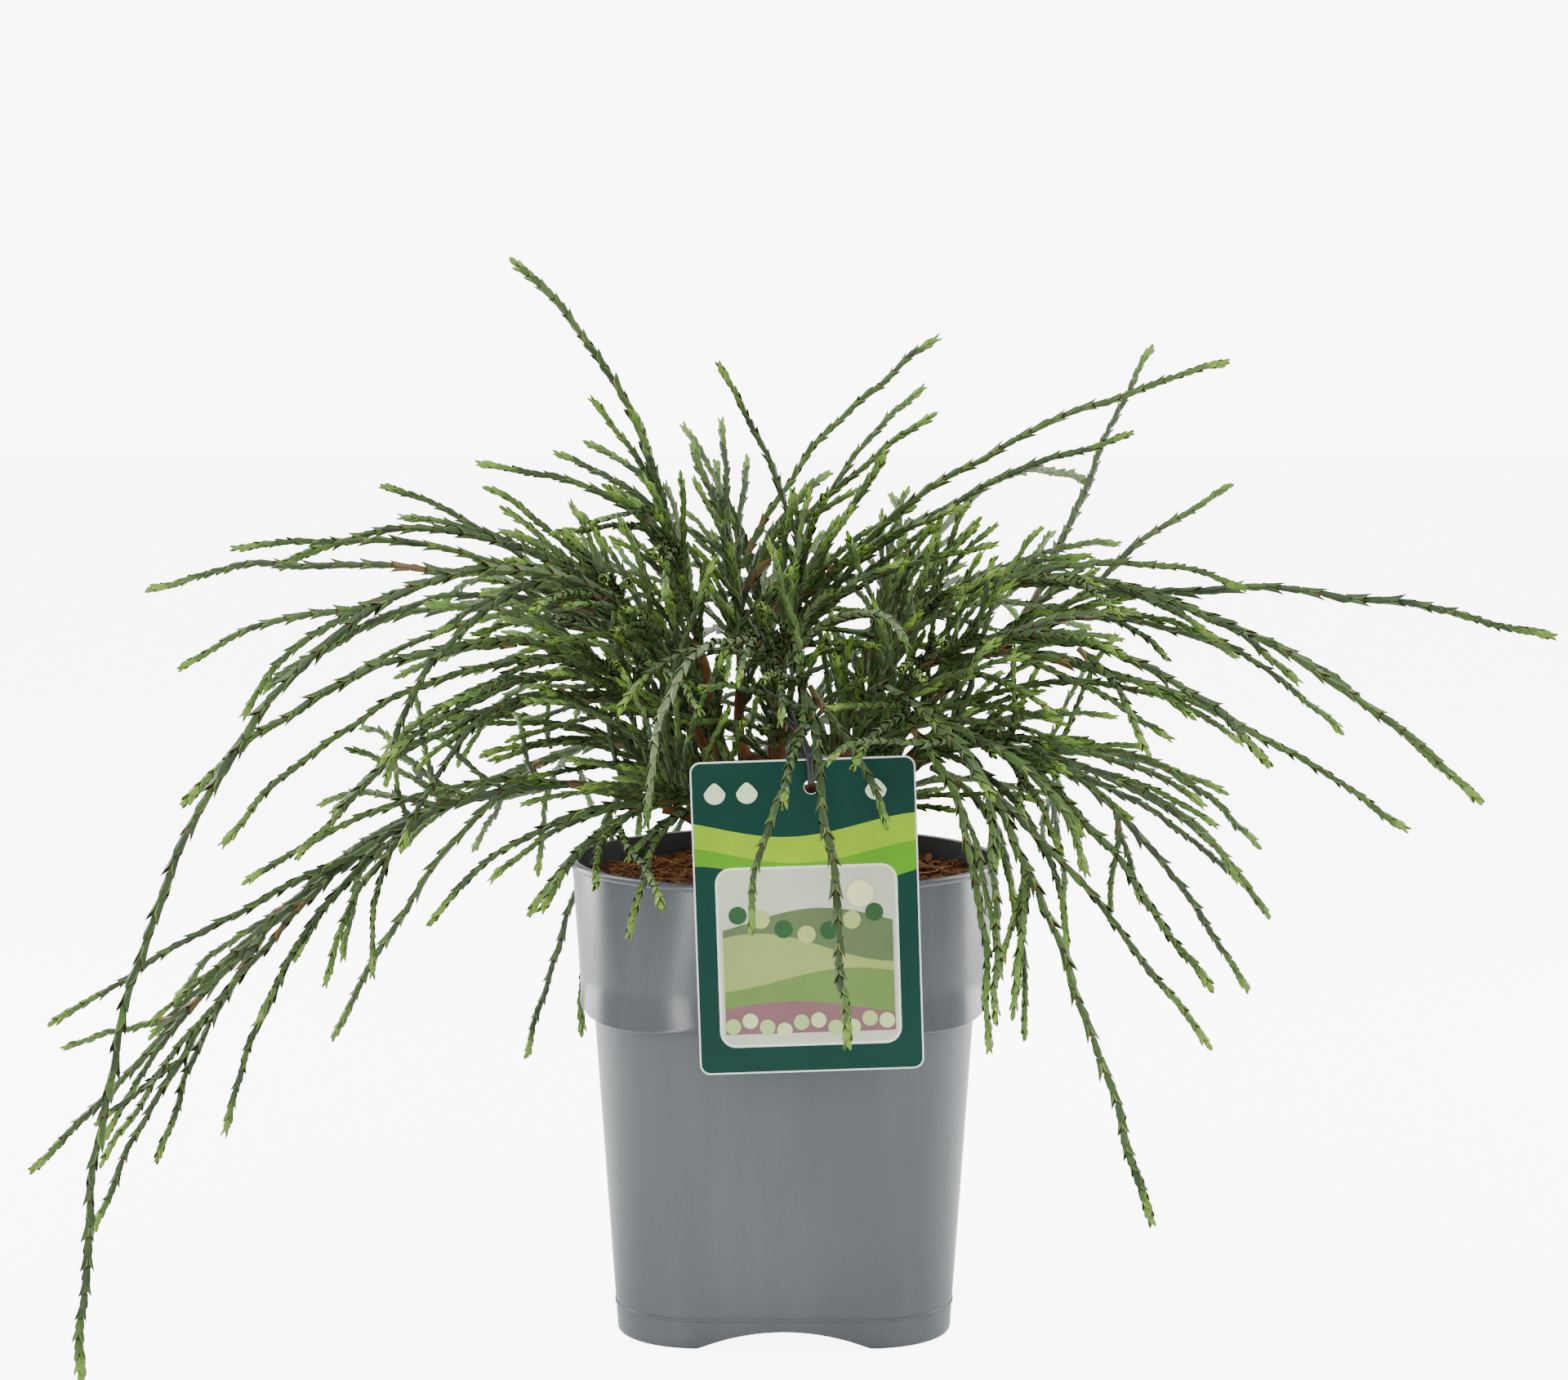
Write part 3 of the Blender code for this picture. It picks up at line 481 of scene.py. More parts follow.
LIMBS = (
    Limb("left_low", 185, 184, 48, 201, 2, Whip(179, 300, 55, sag=9), (
        Whip(174, 293, 99, 0.72, 6), Whip(184, 268, 72, 0.68, 6), Whip(196, 248, 75, 0.56, 8),
        Whip(196, 222, 84, 0.36, 14), Whip(199, 275, 52, 0.44, 10), Whip(171, 250, 118, 0.5, 10))),
    Limb("front_left", 239, 184, 46, 204, 16, Whip(231, 141, 178, sag=24), (
        Whip(247, 143, 172, 0.10, 26), Whip(218, 165, 172, 0.22, 22))),
    Limb("right_low", 336, 184, 46, 214, 34, Whip(322, 197, 151, sag=14), (
        Whip(6, 191, 183, 0.18, 20), Whip(331, 123, 154, 0.12, 34), Whip(352, 178, 176, 0.3, 20))),
    Limb("back_right_low", 30, 184, 46, 206, 16, Whip(33, 238, 105, sag=18), (
        Whip(31, 116, 98, 0.08, 44), Whip(50, 190, 130, 0.3, 20), Whip(15, 205, 150, 0.25, 20))),
    Limb("back_low", 88, 184, 46, 205, 14, Whip(91, 215, 100, sag=20), (
        Whip(72, 190, 120, 0.25, 24), Whip(108, 185, 140, 0.2, 24))),
    Limb("back_left_low", 137, 184, 46, 205, 14, Whip(141, 255, 78, sag=18), (
        Whip(128, 140, 90, 0.08, 44), Whip(156, 225, 125, 0.3, 18), Whip(122, 205, 150, 0.25, 20))),
    Limb("left_front", 208, 193, 48, 231, 46, Whip(211, 252, 220, sag=28), (
        Whip(209, 205, 196, 0.10, 20), Whip(200, 161, 231, 0.16, 18), Whip(194, 178, 205, 0.08, 20))),
    Limb("front_right", 302, 193, 46, 228, 34, Whip(304, 229, 81, sag=16, hang=0.46), (
        Whip(296, 167, 134, 0.10, 40, 0.5), Whip(318, 150, 190, 0.2, 26))),
    Limb("right_front", 323, 202, 44, 238, 46, Whip(328, 208, 232, sag=32), (
        Whip(339, 247, 205, 0.28, 10), Whip(334, 170, 245, 0.2, 18))),
    Limb("right_end", 14, 193, 48, 228, 38, Whip(358, 300, 270, sag=16), (
        Whip(18, 190, 325, 0.26, 6), Whip(25, 140, 295, 0.16, 8), Whip(8, 226, 228, 0.3, 16),
        Whip(40, 203, 380, 0.2, 4))),
    Limb("back_right", 53, 200, 44, 236, 56, Whip(49, 198, 323, sag=36), (
        Whip(60, 205, 262, 0.12, 24), Whip(70, 160, 305, 0.2, 18), Whip(33, 165, 300, 0.1, 16))),
    Limb("back_left", 146, 193, 46, 232, 42, Whip(152, 250, 236, sag=26), (
        Whip(160, 173, 325, 0.2, 12), Whip(135, 215, 268, 0.22, 22), Whip(140, 180, 205, 0.1, 24))),
    Limb("left_long", 221, 202, 42, 240, 50, Whip(221, 321, 31, sag=36, hang=0.82), (
        Whip(209, 249, 268, 0.36, 14), Whip(194, 246, 292, 0.28, 10), Whip(204, 219, 247, 0.32, 18),
        Whip(216, 180, 225, 0.2, 24))),
    Limb("left_upper", 175, 207, 42, 246, 56, Whip(186, 195, 298, sag=34), (
        Whip(191, 213, 306, 0.24, 12), Whip(172, 118, 326, 0.22, 14), Whip(178, 185, 262, 0.16, 22),
        Whip(181, 150, 316, 0.36, 10))),
    Limb("front", 268, 206, 34, 249, 60, Whip(278, 162, 138, sag=20, hang=0.6), (
        Whip(297, 101, 273, 0.05, 48), Whip(252, 158, 215, 0.05, 46, 0.6), Whip(262, 120, 262, 0.1, 30))),
    Limb("right_long", 348, 208, 40, 252, 60, Whip(347, 270, 212, sag=24), (
        Whip(356, 256, 219, 0.3, 14), Whip(340, 205, 258, 0.2, 20), Whip(2, 180, 285, 0.2, 16))),
    Limb("back", 98, 202, 42, 246, 50, Whip(97, 212, 232, sag=28), (
        Whip(64, 134, 364, 0.1, 14), Whip(111, 118, 348, 0.12, 14), Whip(84, 175, 290, 0.2, 20))),
    Limb("top_left", 192, 214, 33, 262, 66, Whip(180, 105, 415, sag=17), (
        Whip(188, 75, 362, 0.32, 5), Whip(199, 62, 358, 0.3, 5), Whip(233, 75, 288, 0.2, 44),
        Whip(171, 122, 336, 0.26, 10), Whip(168, 92, 340, 0.3, 8), Whip(166, 80, 344, 0.36, 6))),
    Limb("top_right", 150, 219, 20, 262, 80, Whip(128, 60, 342, sag=10), (
        Whip(44, 86, 385, 0.3, 10), Whip(19, 62, 355, 0.2, 6), Whip(117, 56, 352, 0.4, 6),
        Whip(75, 70, 330, 0.16, 14))),
    Limb("top", 0, 0, 0, 0, 0, Whip(330, 45, 342, sag=6), (
        Whip(3, 173, 376, 0.44, 10), Whip(352, 135, 349, 0.36, 10), Whip(215, 30, 375, 0.5, 5),
        Whip(330, 80, 322, 0.36, 14))),
)


@dataclass(frozen=True)
class Sizes:
    """The plant's sizes, those of the solids."""

    pot_height: float = 182 * MM
    rim_radius: float = 85 * MM
    rim_lip: float = 1.5 * MM
    soil_top: float = 174 * MM
    soil_roughness: float = 2.4 * MM
    trunk_tip: float = 226 * MM
    trunk_flare: float = 11 * MM
    trunk_radius: float = 7.5 * MM
    trunk_tip_radius: float = 3.4 * MM
    trunk_lean: float = 3 * MM
    bough_radius: float = 2.5 * MM
    bough_tip_radius: float = 2.0 * MM
    bough_collar: float = 3 * MM
    bud_length: float = 13 * MM
    whip_step: float = 31 * MM
    card_width: float = 84 * MM
    card_height: float = 118 * MM
    card_thickness: float = 0.8 * MM
    card_x: float = 8.7 * MM
    card_z: float = 171.6 * MM

    @property
    def trunk_foot(self) -> float:
        """Height of the trunk's flat cut."""
        return self.soil_top + GAP

    @property
    def card_back(self) -> float:
        """The y of the card's back, which leans on the rim."""
        return -(self.rim_radius + GAP)


SIZES = Sizes()
SEED = 11
SHOULDER = 0.36  # handle at a whip's root, as a share of its chord
FOLLOW = 0.25  # share of its stem's heading in the way that a named whip starts
DROOP = 1.4  # how many times its sag a whip ends below its chord
WHIP_CLEAR = 5.6 * MM  # between the middle lines of the solids' whips
POT_CLEAR = 3 * MM  # between any whip's middle line and the pot
FLOOR_CLEAR = 22 * MM  # lowest that a whip hangs
TEST_STEP = 3 * MM  # between the points of a whip that are tested
FILL_COUNT = 3  # seeded whips of each mass
FILL_TRIALS = 60  # tries at them
BUD_SHARE = 0.45  # of the bud's length, where its solid has its last corner
MOUND_REACH = 200 * MM  # the mound that the tips of seeded and short whips fill
MOUND_RISE = 150 * MM
MOUND_MIDDLE = 195 * MM
DOME_REACH = 232 * MM  # the dome that the tips of finer whips fill
DOME_RISE = 180 * MM
DOME_MIDDLE = 150 * MM
SWAYS = ((0, 0), (2, 3), (-2, 3), (4, -4), (-4, 5), (6, 8), (-6, -8), (9, 12), (-9, 12))  # degrees, mm
STRAP_OUT = (  # mm, through the hole, up the front of the card, over its top edge and back to the bough
    (10.1, -85.7, 221.5),
    (10.1, -88.2, 222.0),
    (10.0, -89.2, 225.0),
    (9.6, -88.8, 230.0),
    (9.0, -86.0, 233.0),
    (6.0, -70.0, 238.0),
    (0.0, -50.0, 242.0),
    (-3.9, -38.0, 243.4),
)
STRAP_BACK = ((4.2, -48.0, 238.0), (8.0, -68.0, 228.5), (10.0, -80.0, 222.6), (10.1, -83.8, 221.5))  # mm


def arch(
    root: np.ndarray, tip: np.ndarray, heading: np.ndarray, follow: float, sag: float, hang: float
) -> np.ndarray:
    """A fine path from root to tip that starts between heading and its own rise, and ends drooping.

    Args:
        root: Where it starts.
        tip: Where it ends.
        heading: The way its stem runs there.
        follow: Share of that heading in its first direction.
        sag: Degrees that it leaves above its chord.
        hang: Handle at the tip, as a share of its chord.

    Returns:
        The points of the path.
    """
    chord = tip - root
    length = np.linalg.norm(chord)
    azimuth = math.degrees(math.atan2(chord[1], chord[0]))
    pitch = math.degrees(math.asin(chord[2] / length))
    launch = unit(follow * heading + (1 - follow) * direction(azimuth, min(pitch + sag, 88)))
    landing = direction(azimuth, max(pitch - DROOP * sag, -89))
    controls = (root, root + length * SHOULDER * launch, tip - length * hang * landing, tip)
    return bezier(controls, 40)


def trunk_middle(height: float) -> np.ndarray:
    """Centre of the trunk at a height: it leans a little more towards its tip."""
    share = (height - SIZES.trunk_foot) / (SIZES.trunk_tip - SIZES.trunk_foot)
    return np.array((-SIZES.trunk_lean * max(share, 0) ** 1.5, 0.0, height))


def trunk_radius(height: float) -> float:
    """Radius of the trunk at a height: a quick flare at the foot, then an even taper.

    Args:
        height: Height over the floor.

    Returns:
        The radius there.
    """
    share = (height - SIZES.trunk_foot) / (SIZES.trunk_tip - SIZES.trunk_foot)
    even = SIZES.trunk_radius + (SIZES.trunk_tip_radius - SIZES.trunk_radius) * share
    return even + (SIZES.trunk_flare - SIZES.trunk_radius) * math.exp(-share * 12)


def bough_path(limb: Limb, count: int = 3) -> np.ndarray:
    """The middle line of a bough: out of the trunk's side level, then up to its tip.

    Args:
        limb: The limb.
        count: Steps of its curve.

    Returns:
        The points, from the trunk out.
    """
    foot = limb.foot * MM
    tip = polar(limb.azimuth, limb.reach, limb.height)
    out = direction(limb.azimuth, 0)
    root = trunk_middle(foot) + out * (trunk_radius(foot - SIZES.bough_radius) + GAP)
    start = root + out * SIZES.bough_collar
    span = np.linalg.norm(tip - start)
    controls = (start, start + out * span * 0.4, tip - direction(limb.azimuth, limb.pitch) * span * 0.35, tip)
    return np.vstack((root[None], bezier(controls, count)))


@dataclass
class Shoot:
    """One grown whip: its smooth path, how stout it is, and how far out it sits in the branching."""

    path: np.ndarray
    radius: float
    order: int = 1

    def corners(self) -> np.ndarray:
        """The ends of the straight pieces that its solid is made of.

        Returns:
            The points, from root to tip.
        """
        length = path_length(self.path)
        count = max(2, round((length - SIZES.bud_length) / SIZES.whip_step))
        even = np.linspace(6 * MM, length - SIZES.bud_length, count + 1)
        bud = (length - BUD_SHARE * SIZES.bud_length, length)
        return along(self.path, np.concatenate(((0,), even, bud)))


class Garden:
    """What stands already, as points that a new whip has to stay clear of."""

    def __init__(self) -> None:
        """Starts empty."""
        self.points = np.empty((0, 3))
        self.owner = np.empty(0, dtype=int)

    def add(self, path: np.ndarray, owner: int) -> None:
        """Marks a path as standing.

        Args:
            path: The points of the path.
            owner: The mass that it belongs to.
        """
        fine = along(path, np.arange(0, path_length(path), TEST_STEP))
        self.points = np.vstack((self.points, fine))
        self.owner = np.concatenate((self.owner, np.full(len(fine), owner)))

    def clear(self, points: np.ndarray, owner: int, gap: float) -> bool:
        """Whether all these points are further than gap from everything that others own.

        Args:
            points: The points to test.
            owner: The mass that they belong to.
            gap: The least distance.

        Returns:
            Whether they are clear.
        """
        low, high = points.min(axis=0) - gap, points.max(axis=0) + gap
        near = ((self.points > low) & (self.points < high)).all(axis=1) & (self.owner != owner)
        others = self.points[near]
        if not len(others):
            return True
        span = points[:, None, :] - others[None, :, :]
        return bool((np.einsum("ijk,ijk->ij", span, span) > gap * gap).all())


def clear_of_pot(points: np.ndarray, gap: float) -> bool:
    """Whether the points stay off the pot, the soil, the card and the floor.

    Args:
        points: The points to test.
        gap: The least distance.

    Returns:
        Whether they are clear.
    """
    reach = np.hypot(points[:, 0], points[:, 1])
    over = points[:, 2] > SIZES.pot_height + gap
    outside = reach > SIZES.rim_radius + SIZES.rim_lip + gap
    inside = (reach < SIZES.rim_radius - 5 * MM) & (points[:, 2] > SIZES.soil_top + SIZES.soil_roughness + gap)
    card = (
        (np.abs(points[:, 0] - SIZES.card_x) < SIZES.card_width / 2 + 2 * gap)
        & (np.abs(points[:, 2] - SIZES.card_z) < SIZES.card_height / 2 + 2 * gap)
        & (points[:, 1] < SIZES.card_back + 2 * gap)
        & (points[:, 1] > SIZES.card_back - SIZES.card_thickness - 2 * gap)
    )
    return bool(((over | outside | inside) & ~card & (points[:, 2] > FLOOR_CLEAR)).all())


def leaving(stem: Shoot, share: float) -> tuple[np.ndarray, np.ndarray]:
    """The point on a stem's straight pieces at a share of its length, and the way the stem runs there.

    Args:
        stem: The stem.
        share: The share of its length.

    Returns:
        The point and the heading.
    """
    corners = stem.corners()
    length = path_length(corners)
    root, ahead = along(corners, (share * length, (share + 0.02) * length))
    return root, unit(ahead - root)


def in_mound(point: np.ndarray, shrink: float = 1.0) -> bool:
    """Whether a tip lies in the dome that seeded whips fill.

    Args:
        point: The tip.
        shrink: Size of the mound, where 1 is full.

    Returns:
        Whether it is inside.
    """
    reach = np.hypot(point[0], point[1]) / MOUND_REACH
    rise = (point[2] - MOUND_MIDDLE) / MOUND_RISE
    return bool(reach**2 + rise**2 < shrink and point[2] > 0.7 * MOUND_MIDDLE)


def hides_card(points: np.ndarray) -> bool:
    """Whether any of the points hangs in front of the card.

    Args:
        points: The points to test.

    Returns:
        Whether any of them does.
    """
    beside = np.abs(points[:, 0] - SIZES.card_x) > SIZES.card_width / 2 + 4 * MM
    over = points[:, 2] > SIZES.card_z + SIZES.card_height / 2 + 3 * MM
    return bool((~beside & ~over & (points[:, 1] < SIZES.card_back)).any())


def in_dome(point: np.ndarray) -> bool:
    """Whether a tip lies in the dense part of the plant, which only single whips outgrow.

    Args:
        point: The tip.

    Returns:
        Whether it is inside.
    """
    reach = np.hypot(point[0], point[1]) / DOME_REACH
    rise = (point[2] - DOME_MIDDLE) / DOME_RISE
    return bool(reach**2 + rise**2 < 1)


class Growth:
    """The plant grown: the whips of the solids first, then the finer twigs."""

    WHIP_RADIUS = 2.1 * MM
    STEM_RADIUS = 2.3 * MM
    APART = 4.8 * MM  # between the middle lines of finer whips
    CLOSE = 3.6 * MM  # the same between the short whips round the trunk
    FREE = 26 * MM  # length near its root over which a whip may lie close to others
    SHORTEST = 32 * MM  # companion worth keeping
    OPEN_END = "left_low"  # the limb whose companions may leave the dome
    COMPANION_TRIALS = 8  # tries for each one wanted
    SHORT_TRIALS = 12

    def __init__(self) -> None:
        """Grows what the solids hold."""
        self.garden = Garden()
        self.masses: list[list[Shoot]] = []
        self._grow_stems()
        self._grow_leaders()
        self._grow_seeded()

    def _place(self, number: int, shoot: Shoot, gap: float = WHIP_CLEAR) -> bool:
        """Keeps a whip if it is clear of all else, and says whether it was kept.

        Args:
            number: The mass.
            shoot: The whip.
            gap: The least distance to others.

        Returns:
            Whether it was kept.
        """
        corners = shoot.corners()
        fine = along(corners, np.arange(0, path_length(corners), TEST_STEP))
        if not clear_of_pot(fine, POT_CLEAR) or not self.garden.clear(fine, number, gap):
            return False
        self.garden.add(corners, number)
        self.masses[number].append(shoot)
        return True

    def _grow_stems(self) -> None:
        """The stem of each mass, from 0.3 mm past its bough's tip, or the trunk's."""
        trunk = np.array([trunk_middle(h) for h in np.linspace(SIZES.trunk_foot, SIZES.trunk_tip, 12)])
        self.garden.add(trunk, len(LIMBS) - 1)
        self.garden.add(np.vstack((np.array(STRAP_OUT), np.array(STRAP_BACK))) * MM, -1)
        for number, limb in enumerate(LIMBS):
            if limb.foot:
                bough = bough_path(limb)
                root = bough[-1]
                heading = unit(bough[-1] - bough[-2])
                self.garden.add(bough, number)
            else:
                root = trunk_middle(SIZES.trunk_tip)
                heading = unit(root - trunk_middle(SIZES.trunk_tip - 2 * MM))
            start = root + heading * GAP
            tip = polar(limb.stem.azimuth, limb.stem.reach, limb.stem.height)
            path = arch(start + heading * 6 * MM, tip, heading, 1.0, limb.stem.sag, limb.stem.hang)
            stem = Shoot(np.vstack((start[None], path)), self.STEM_RADIUS, 0)
            self.masses.append([stem])
            self.garden.add(stem.corners(), number)

    def _grow_leaders(self) -> None:
        """The whips that each limb names, each swayed until it is clear."""
        for number, limb in enumerate(LIMBS):
            for whip in limb.whips:
                for swing, lift in SWAYS:
                    root, heading = leaving(self.masses[number][0], whip.root)
                    tip = polar(whip.azimuth + swing, whip.reach, whip.height + lift)
                    path = arch(root, tip, heading, FOLLOW, whip.sag, whip.hang)
                    if self._place(number, Shoot(path, self.WHIP_RADIUS)):
                        break

    def _grow_seeded(self) -> None:
        """The seeded whips of the solids."""
        chance = random.Random(SEED)
        for number in range(len(LIMBS)):
            wanted = len(self.masses[number]) + FILL_COUNT
            for trial in range(FILL_TRIALS):
                shoot = self._seeded(self.masses[number][0], chance, 1 if trial % 2 else -1)
                if in_mound(shoot.path[-1]):
                    self._place(number, shoot)
                if len(self.masses[number]) == wanted:
                    break

    def _seeded(self, stem: Shoot, chance: random.Random, side: int) -> Shoot:
        """A side whip by the seeded rule: it leaves the stem at an acute angle, rises and droops.

        Args:
            stem: What it leaves.
            chance: The seeded source of all odds.
            side: 1 for the left side, -1 for the right.

        Returns:
            The whip.
        """
        share = chance.uniform(0.04, 0.55)
        root, heading = leaving(stem, share)
        azimuth = math.degrees(math.atan2(heading[1], heading[0])) + side * chance.uniform(16, 60)
        pitch = math.degrees(math.asin(heading[2])) + chance.uniform(-22, 26)
        reach = chance.uniform(55, 125) * MM * (1 - 0.4 * share)
        tip = root + reach * direction(azimuth, min(pitch, 75) - reach / MM * 0.12)
        return Shoot(arch(root, tip, heading, 0.45, reach / MM * 0.2, 0.4), self.WHIP_RADIUS)

    def _place_fine(self, number: int, shoot: Shoot, gap: float) -> bool:
        """Keeps a finer whip if it is inside the plant's box and clear of every other, and says whether.

        Args:
            number: The mass.
            shoot: The whip.
            gap: The least distance to others.

        Returns:
            Whether it was kept.
        """
        length = path_length(shoot.path)
        fine = along(shoot.path, np.arange(0, length, TEST_STEP))
        if not ((fine > self.low) & (fine < self.high)).all() or not clear_of_pot(fine, POT_CLEAR):
            return False
        if hides_card(fine):
            return False
        if not self.crowd.clear(fine[int(self.FREE / TEST_STEP) :], -1, gap):
            return False
        self.crowd.add(shoot.path, number)
        self.masses[number].append(shoot)
        return True

    def thicken(self, core: int, bough_shoots: int, per_length: float, seed: int) -> None:
        """Grows the finer whips that the solids leave out, within the solids' own box.

        Args:
            core: Short whips that each stem gets near its foot.
            bough_shoots: Short whips that each bough gets.
            per_length: Length of whip that sends out one companion.
            seed: Seed of the rule.
        """
        chance = random.Random(seed)
        self.crowd = Garden()
        self.low, self.high = (np.array(corner) for corner in CAD_BOX)
        for number, shoots in enumerate(self.masses):
            for shoot in shoots:
                self.crowd.add(shoot.path, number)
        for number, shoots in enumerate(self.masses):
            for shoot in list(shoots):
                self._send_companions(number, shoot, per_length, chance)
        for number, limb in enumerate(LIMBS):
            if limb.foot:
                self._send_short(number, bough_path(limb, 12), (0.35, 1.0), bough_shoots, chance)
            self._send_short(number, self.masses[number][0].path, (0.0, 0.34), core, chance)

    def _send_companions(self, number: int, shoot: Shoot, per_length: float, chance: random.Random) -> None:
        """Whips that leave another one at an acute angle and run on beside it, as it runs itself.

        Args:
            number: The mass.
            shoot: The whip that they leave.
            per_length: Length of whip that sends out one.
            chance: The seeded source of all odds.
        """
        length = path_length(shoot.path)
        wanted = int(length / per_length + chance.random())
        open_end = LIMBS[number].name == self.OPEN_END
        for trial in range(self.COMPANION_TRIALS * wanted):
            share = chance.uniform(0.0, 0.7 if open_end else 0.4)
            size = chance.uniform(0.4, 0.9)
            rest = along(shoot.path, np.linspace(share, share + size * (1 - share), 26) * length)
            turn = math.radians(chance.uniform(8, 30)) * (1 if trial % 2 else -1)
            tilt = math.radians(chance.uniform(-17, 17))
            heading = unit(rest[1] - rest[0])
            level = unit(np.cross(heading, UP))
            turned = Matrix.Rotation(turn, 3, Vector(np.cross(level, heading)))
            turned = np.array(Matrix.Rotation(tilt, 3, Vector(level)) @ turned)
            path = rest[0] + (rest - rest[0]) @ turned.T
            if path_length(path) > self.SHORTEST and (open_end or in_dome(path[-1])):
                made = Shoot(path, shoot.radius * 0.92, 2)
                wanted -= self._place_fine(number, made, self.APART)
            if wanted <= 0:
                break

    def _send_short(
        self, number: int, path: np.ndarray, shares: tuple[float, float], wanted: int, chance: random.Random
    ) -> None:
        """Short whips that fill the mound round the trunk.

        Args:
            number: The mass.
            path: What they leave.
            shares: Between which shares of its length.
            wanted: How many.
            chance: The seeded source of all odds.
        """
        length = path_length(path)
        for _ in range(self.SHORT_TRIALS * wanted):
            share = chance.uniform(*shares)
            root, ahead = along(path, (share * length, (share + 0.02) * length))
            heading = unit(ahead - root) if share < 0.97 else unit(path[-1] - path[-2])
            azimuth = math.degrees(math.atan2(heading[1], heading[0])) + chance.uniform(-80, 80)
            pitch = chance.uniform(8, 86)
            reach = chance.uniform(35, 105) * MM
            tip = root + reach * direction(azimuth, pitch - reach / MM * 0.12)
            made = Shoot(arch(root, tip, heading, 0.5, reach / MM * 0.18, 0.4), self.WHIP_RADIUS * 0.88, 2)
            if in_mound(tip, 0.9):
                wanted -= self._place_fine(number, made, self.CLOSE)
            if wanted <= 0:
                break


# Foliage


class Tone(Enum):
    """The shades of the scale leaves."""

    OLD = "old"
    GREEN = "green"
    YOUNG = "young"
    BUD = "bud"
    BROWN = "brown"
    PALE = "pale"


@dataclass(frozen=True)
class LeafTint:
    """Colours of one shade: the back of the leaf and its margin."""

    back: Colour
    shade: Colour
    margin: Colour

    def finishes(self, tone: Tone) -> tuple[Finish, Finish]:
        """The finishes of the leaf's back and of its margin.

        Args:
            tone: The shade they are for.

        Returns:
            The two finishes.
        """
        back = Finish(f"leaf_{tone.value}", self.back, self.shade, 0.5, 90.0, specular=0.28)
        margin = Finish(f"margin_{tone.value}", self.margin, self.back, 0.55, 120.0, specular=0.28)
        return back, margin


TINTS = {
    Tone.OLD: LeafTint(srgb(52, 72, 34), srgb(38, 54, 26), srgb(100, 126, 62)),
    Tone.GREEN: LeafTint(srgb(64, 90, 38), srgb(48, 68, 30), srgb(114, 142, 66)),
    Tone.YOUNG: LeafTint(srgb(78, 108, 44), srgb(60, 86, 34), srgb(124, 154, 70)),
    Tone.BUD: LeafTint(srgb(108, 142, 54), srgb(84, 116, 42), srgb(146, 176, 80)),
    Tone.BROWN: LeafTint(srgb(98, 76, 42), srgb(66, 62, 34), srgb(126, 104, 56)),
    Tone.PALE: LeafTint(srgb(98, 116, 74), srgb(76, 94, 58), srgb(158, 174, 130)),
}
PALE_WHIPS = {("front", 2), ("front", 1), ("back_right", 0)}  # limb, and its whip: 0 is its stem


@dataclass(frozen=True)
class ScaleLeaf:
    """A pair of scale leaves round one internode, 1 long and 1 in radius, with keels and pointed tips.

    Each row is a height, a radius and half the angle that one leaf takes there, in degrees.
    """

    name: str
    rows: tuple[tuple[float, float, float], ...]
    tip: tuple[float, float]  # height and radius
    columns: tuple[float, ...] = (-1.0, -0.76, 0.0, 0.76, 1.0)  # shares of the half angle
    keel: float = 1.08  # radius along the middle of a leaf, as a share of its row's
    slope: float = 0.18  # how much of that is lost at its edge

    def build(self, margin: bool) -> bpy.types.Object:
        """A hidden object with the backs of the pair, or with their margins.

        Args:
            margin: Whether it is the margins.

        Returns:
            The object.
        """
        points, faces = [], []
        for turn in (0.0, math.pi):
            first = len(points)
            for height, radius, half in self.rows:
                for share in self.columns:
                    angle = turn + math.radians(half) * share
                    reach = radius * (self.keel - self.slope * abs(share))
                    points.append((reach * math.cos(angle), reach * math.sin(angle), height))
            points.append((self.tip[1] * math.cos(turn), self.tip[1] * math.sin(turn), self.tip[0]))
            faces += self._leaf_faces(first, margin)
        name = f"{self.name}_{'margins' if margin else 'backs'}"
        made = new_object(name, mesh_of(name, np.array(points), faces))
        made.hide_render = True
        return made

    def _leaf_faces(self, first: int, margin: bool) -> list[tuple[int, ...]]:
        """The faces of one leaf that belong to its margin, or all the others.

        Args:
            first: Number of the leaf's first point.
            margin: Whether it is the margin.

        Returns:
            The faces.
        """
        wide = len(self.columns)
        faces = []
        for row in range(len(self.rows) - 1):
            for column in range(wide - 1):
                edge = column in (0, wide - 2) and row > 0
                low = first + row * wide + column
                if edge == margin:
                    faces.append((low, low + 1, low + wide + 1, low + wide))
        last = first + (len(self.rows) - 1) * wide
        for column in range(wide - 1):
            if (column in (0, wide - 2)) == margin:
                faces.append((last + column, last + column + 1, last + wide))
        return faces


LONG_LEAF = ScaleLeaf(
    "long_leaf", ((0.0, 0.74, 88), (0.34, 0.80, 88), (0.74, 0.98, 80), (0.93, 1.10, 52)), (1.32, 1.42)
)
SHORT_LEAF = ScaleLeaf(
    "short_leaf", ((0.0, 0.66, 88), (0.30, 0.86, 88), (0.62, 1.04, 76), (0.86, 1.08, 48)), (1.12, 1.02)
)


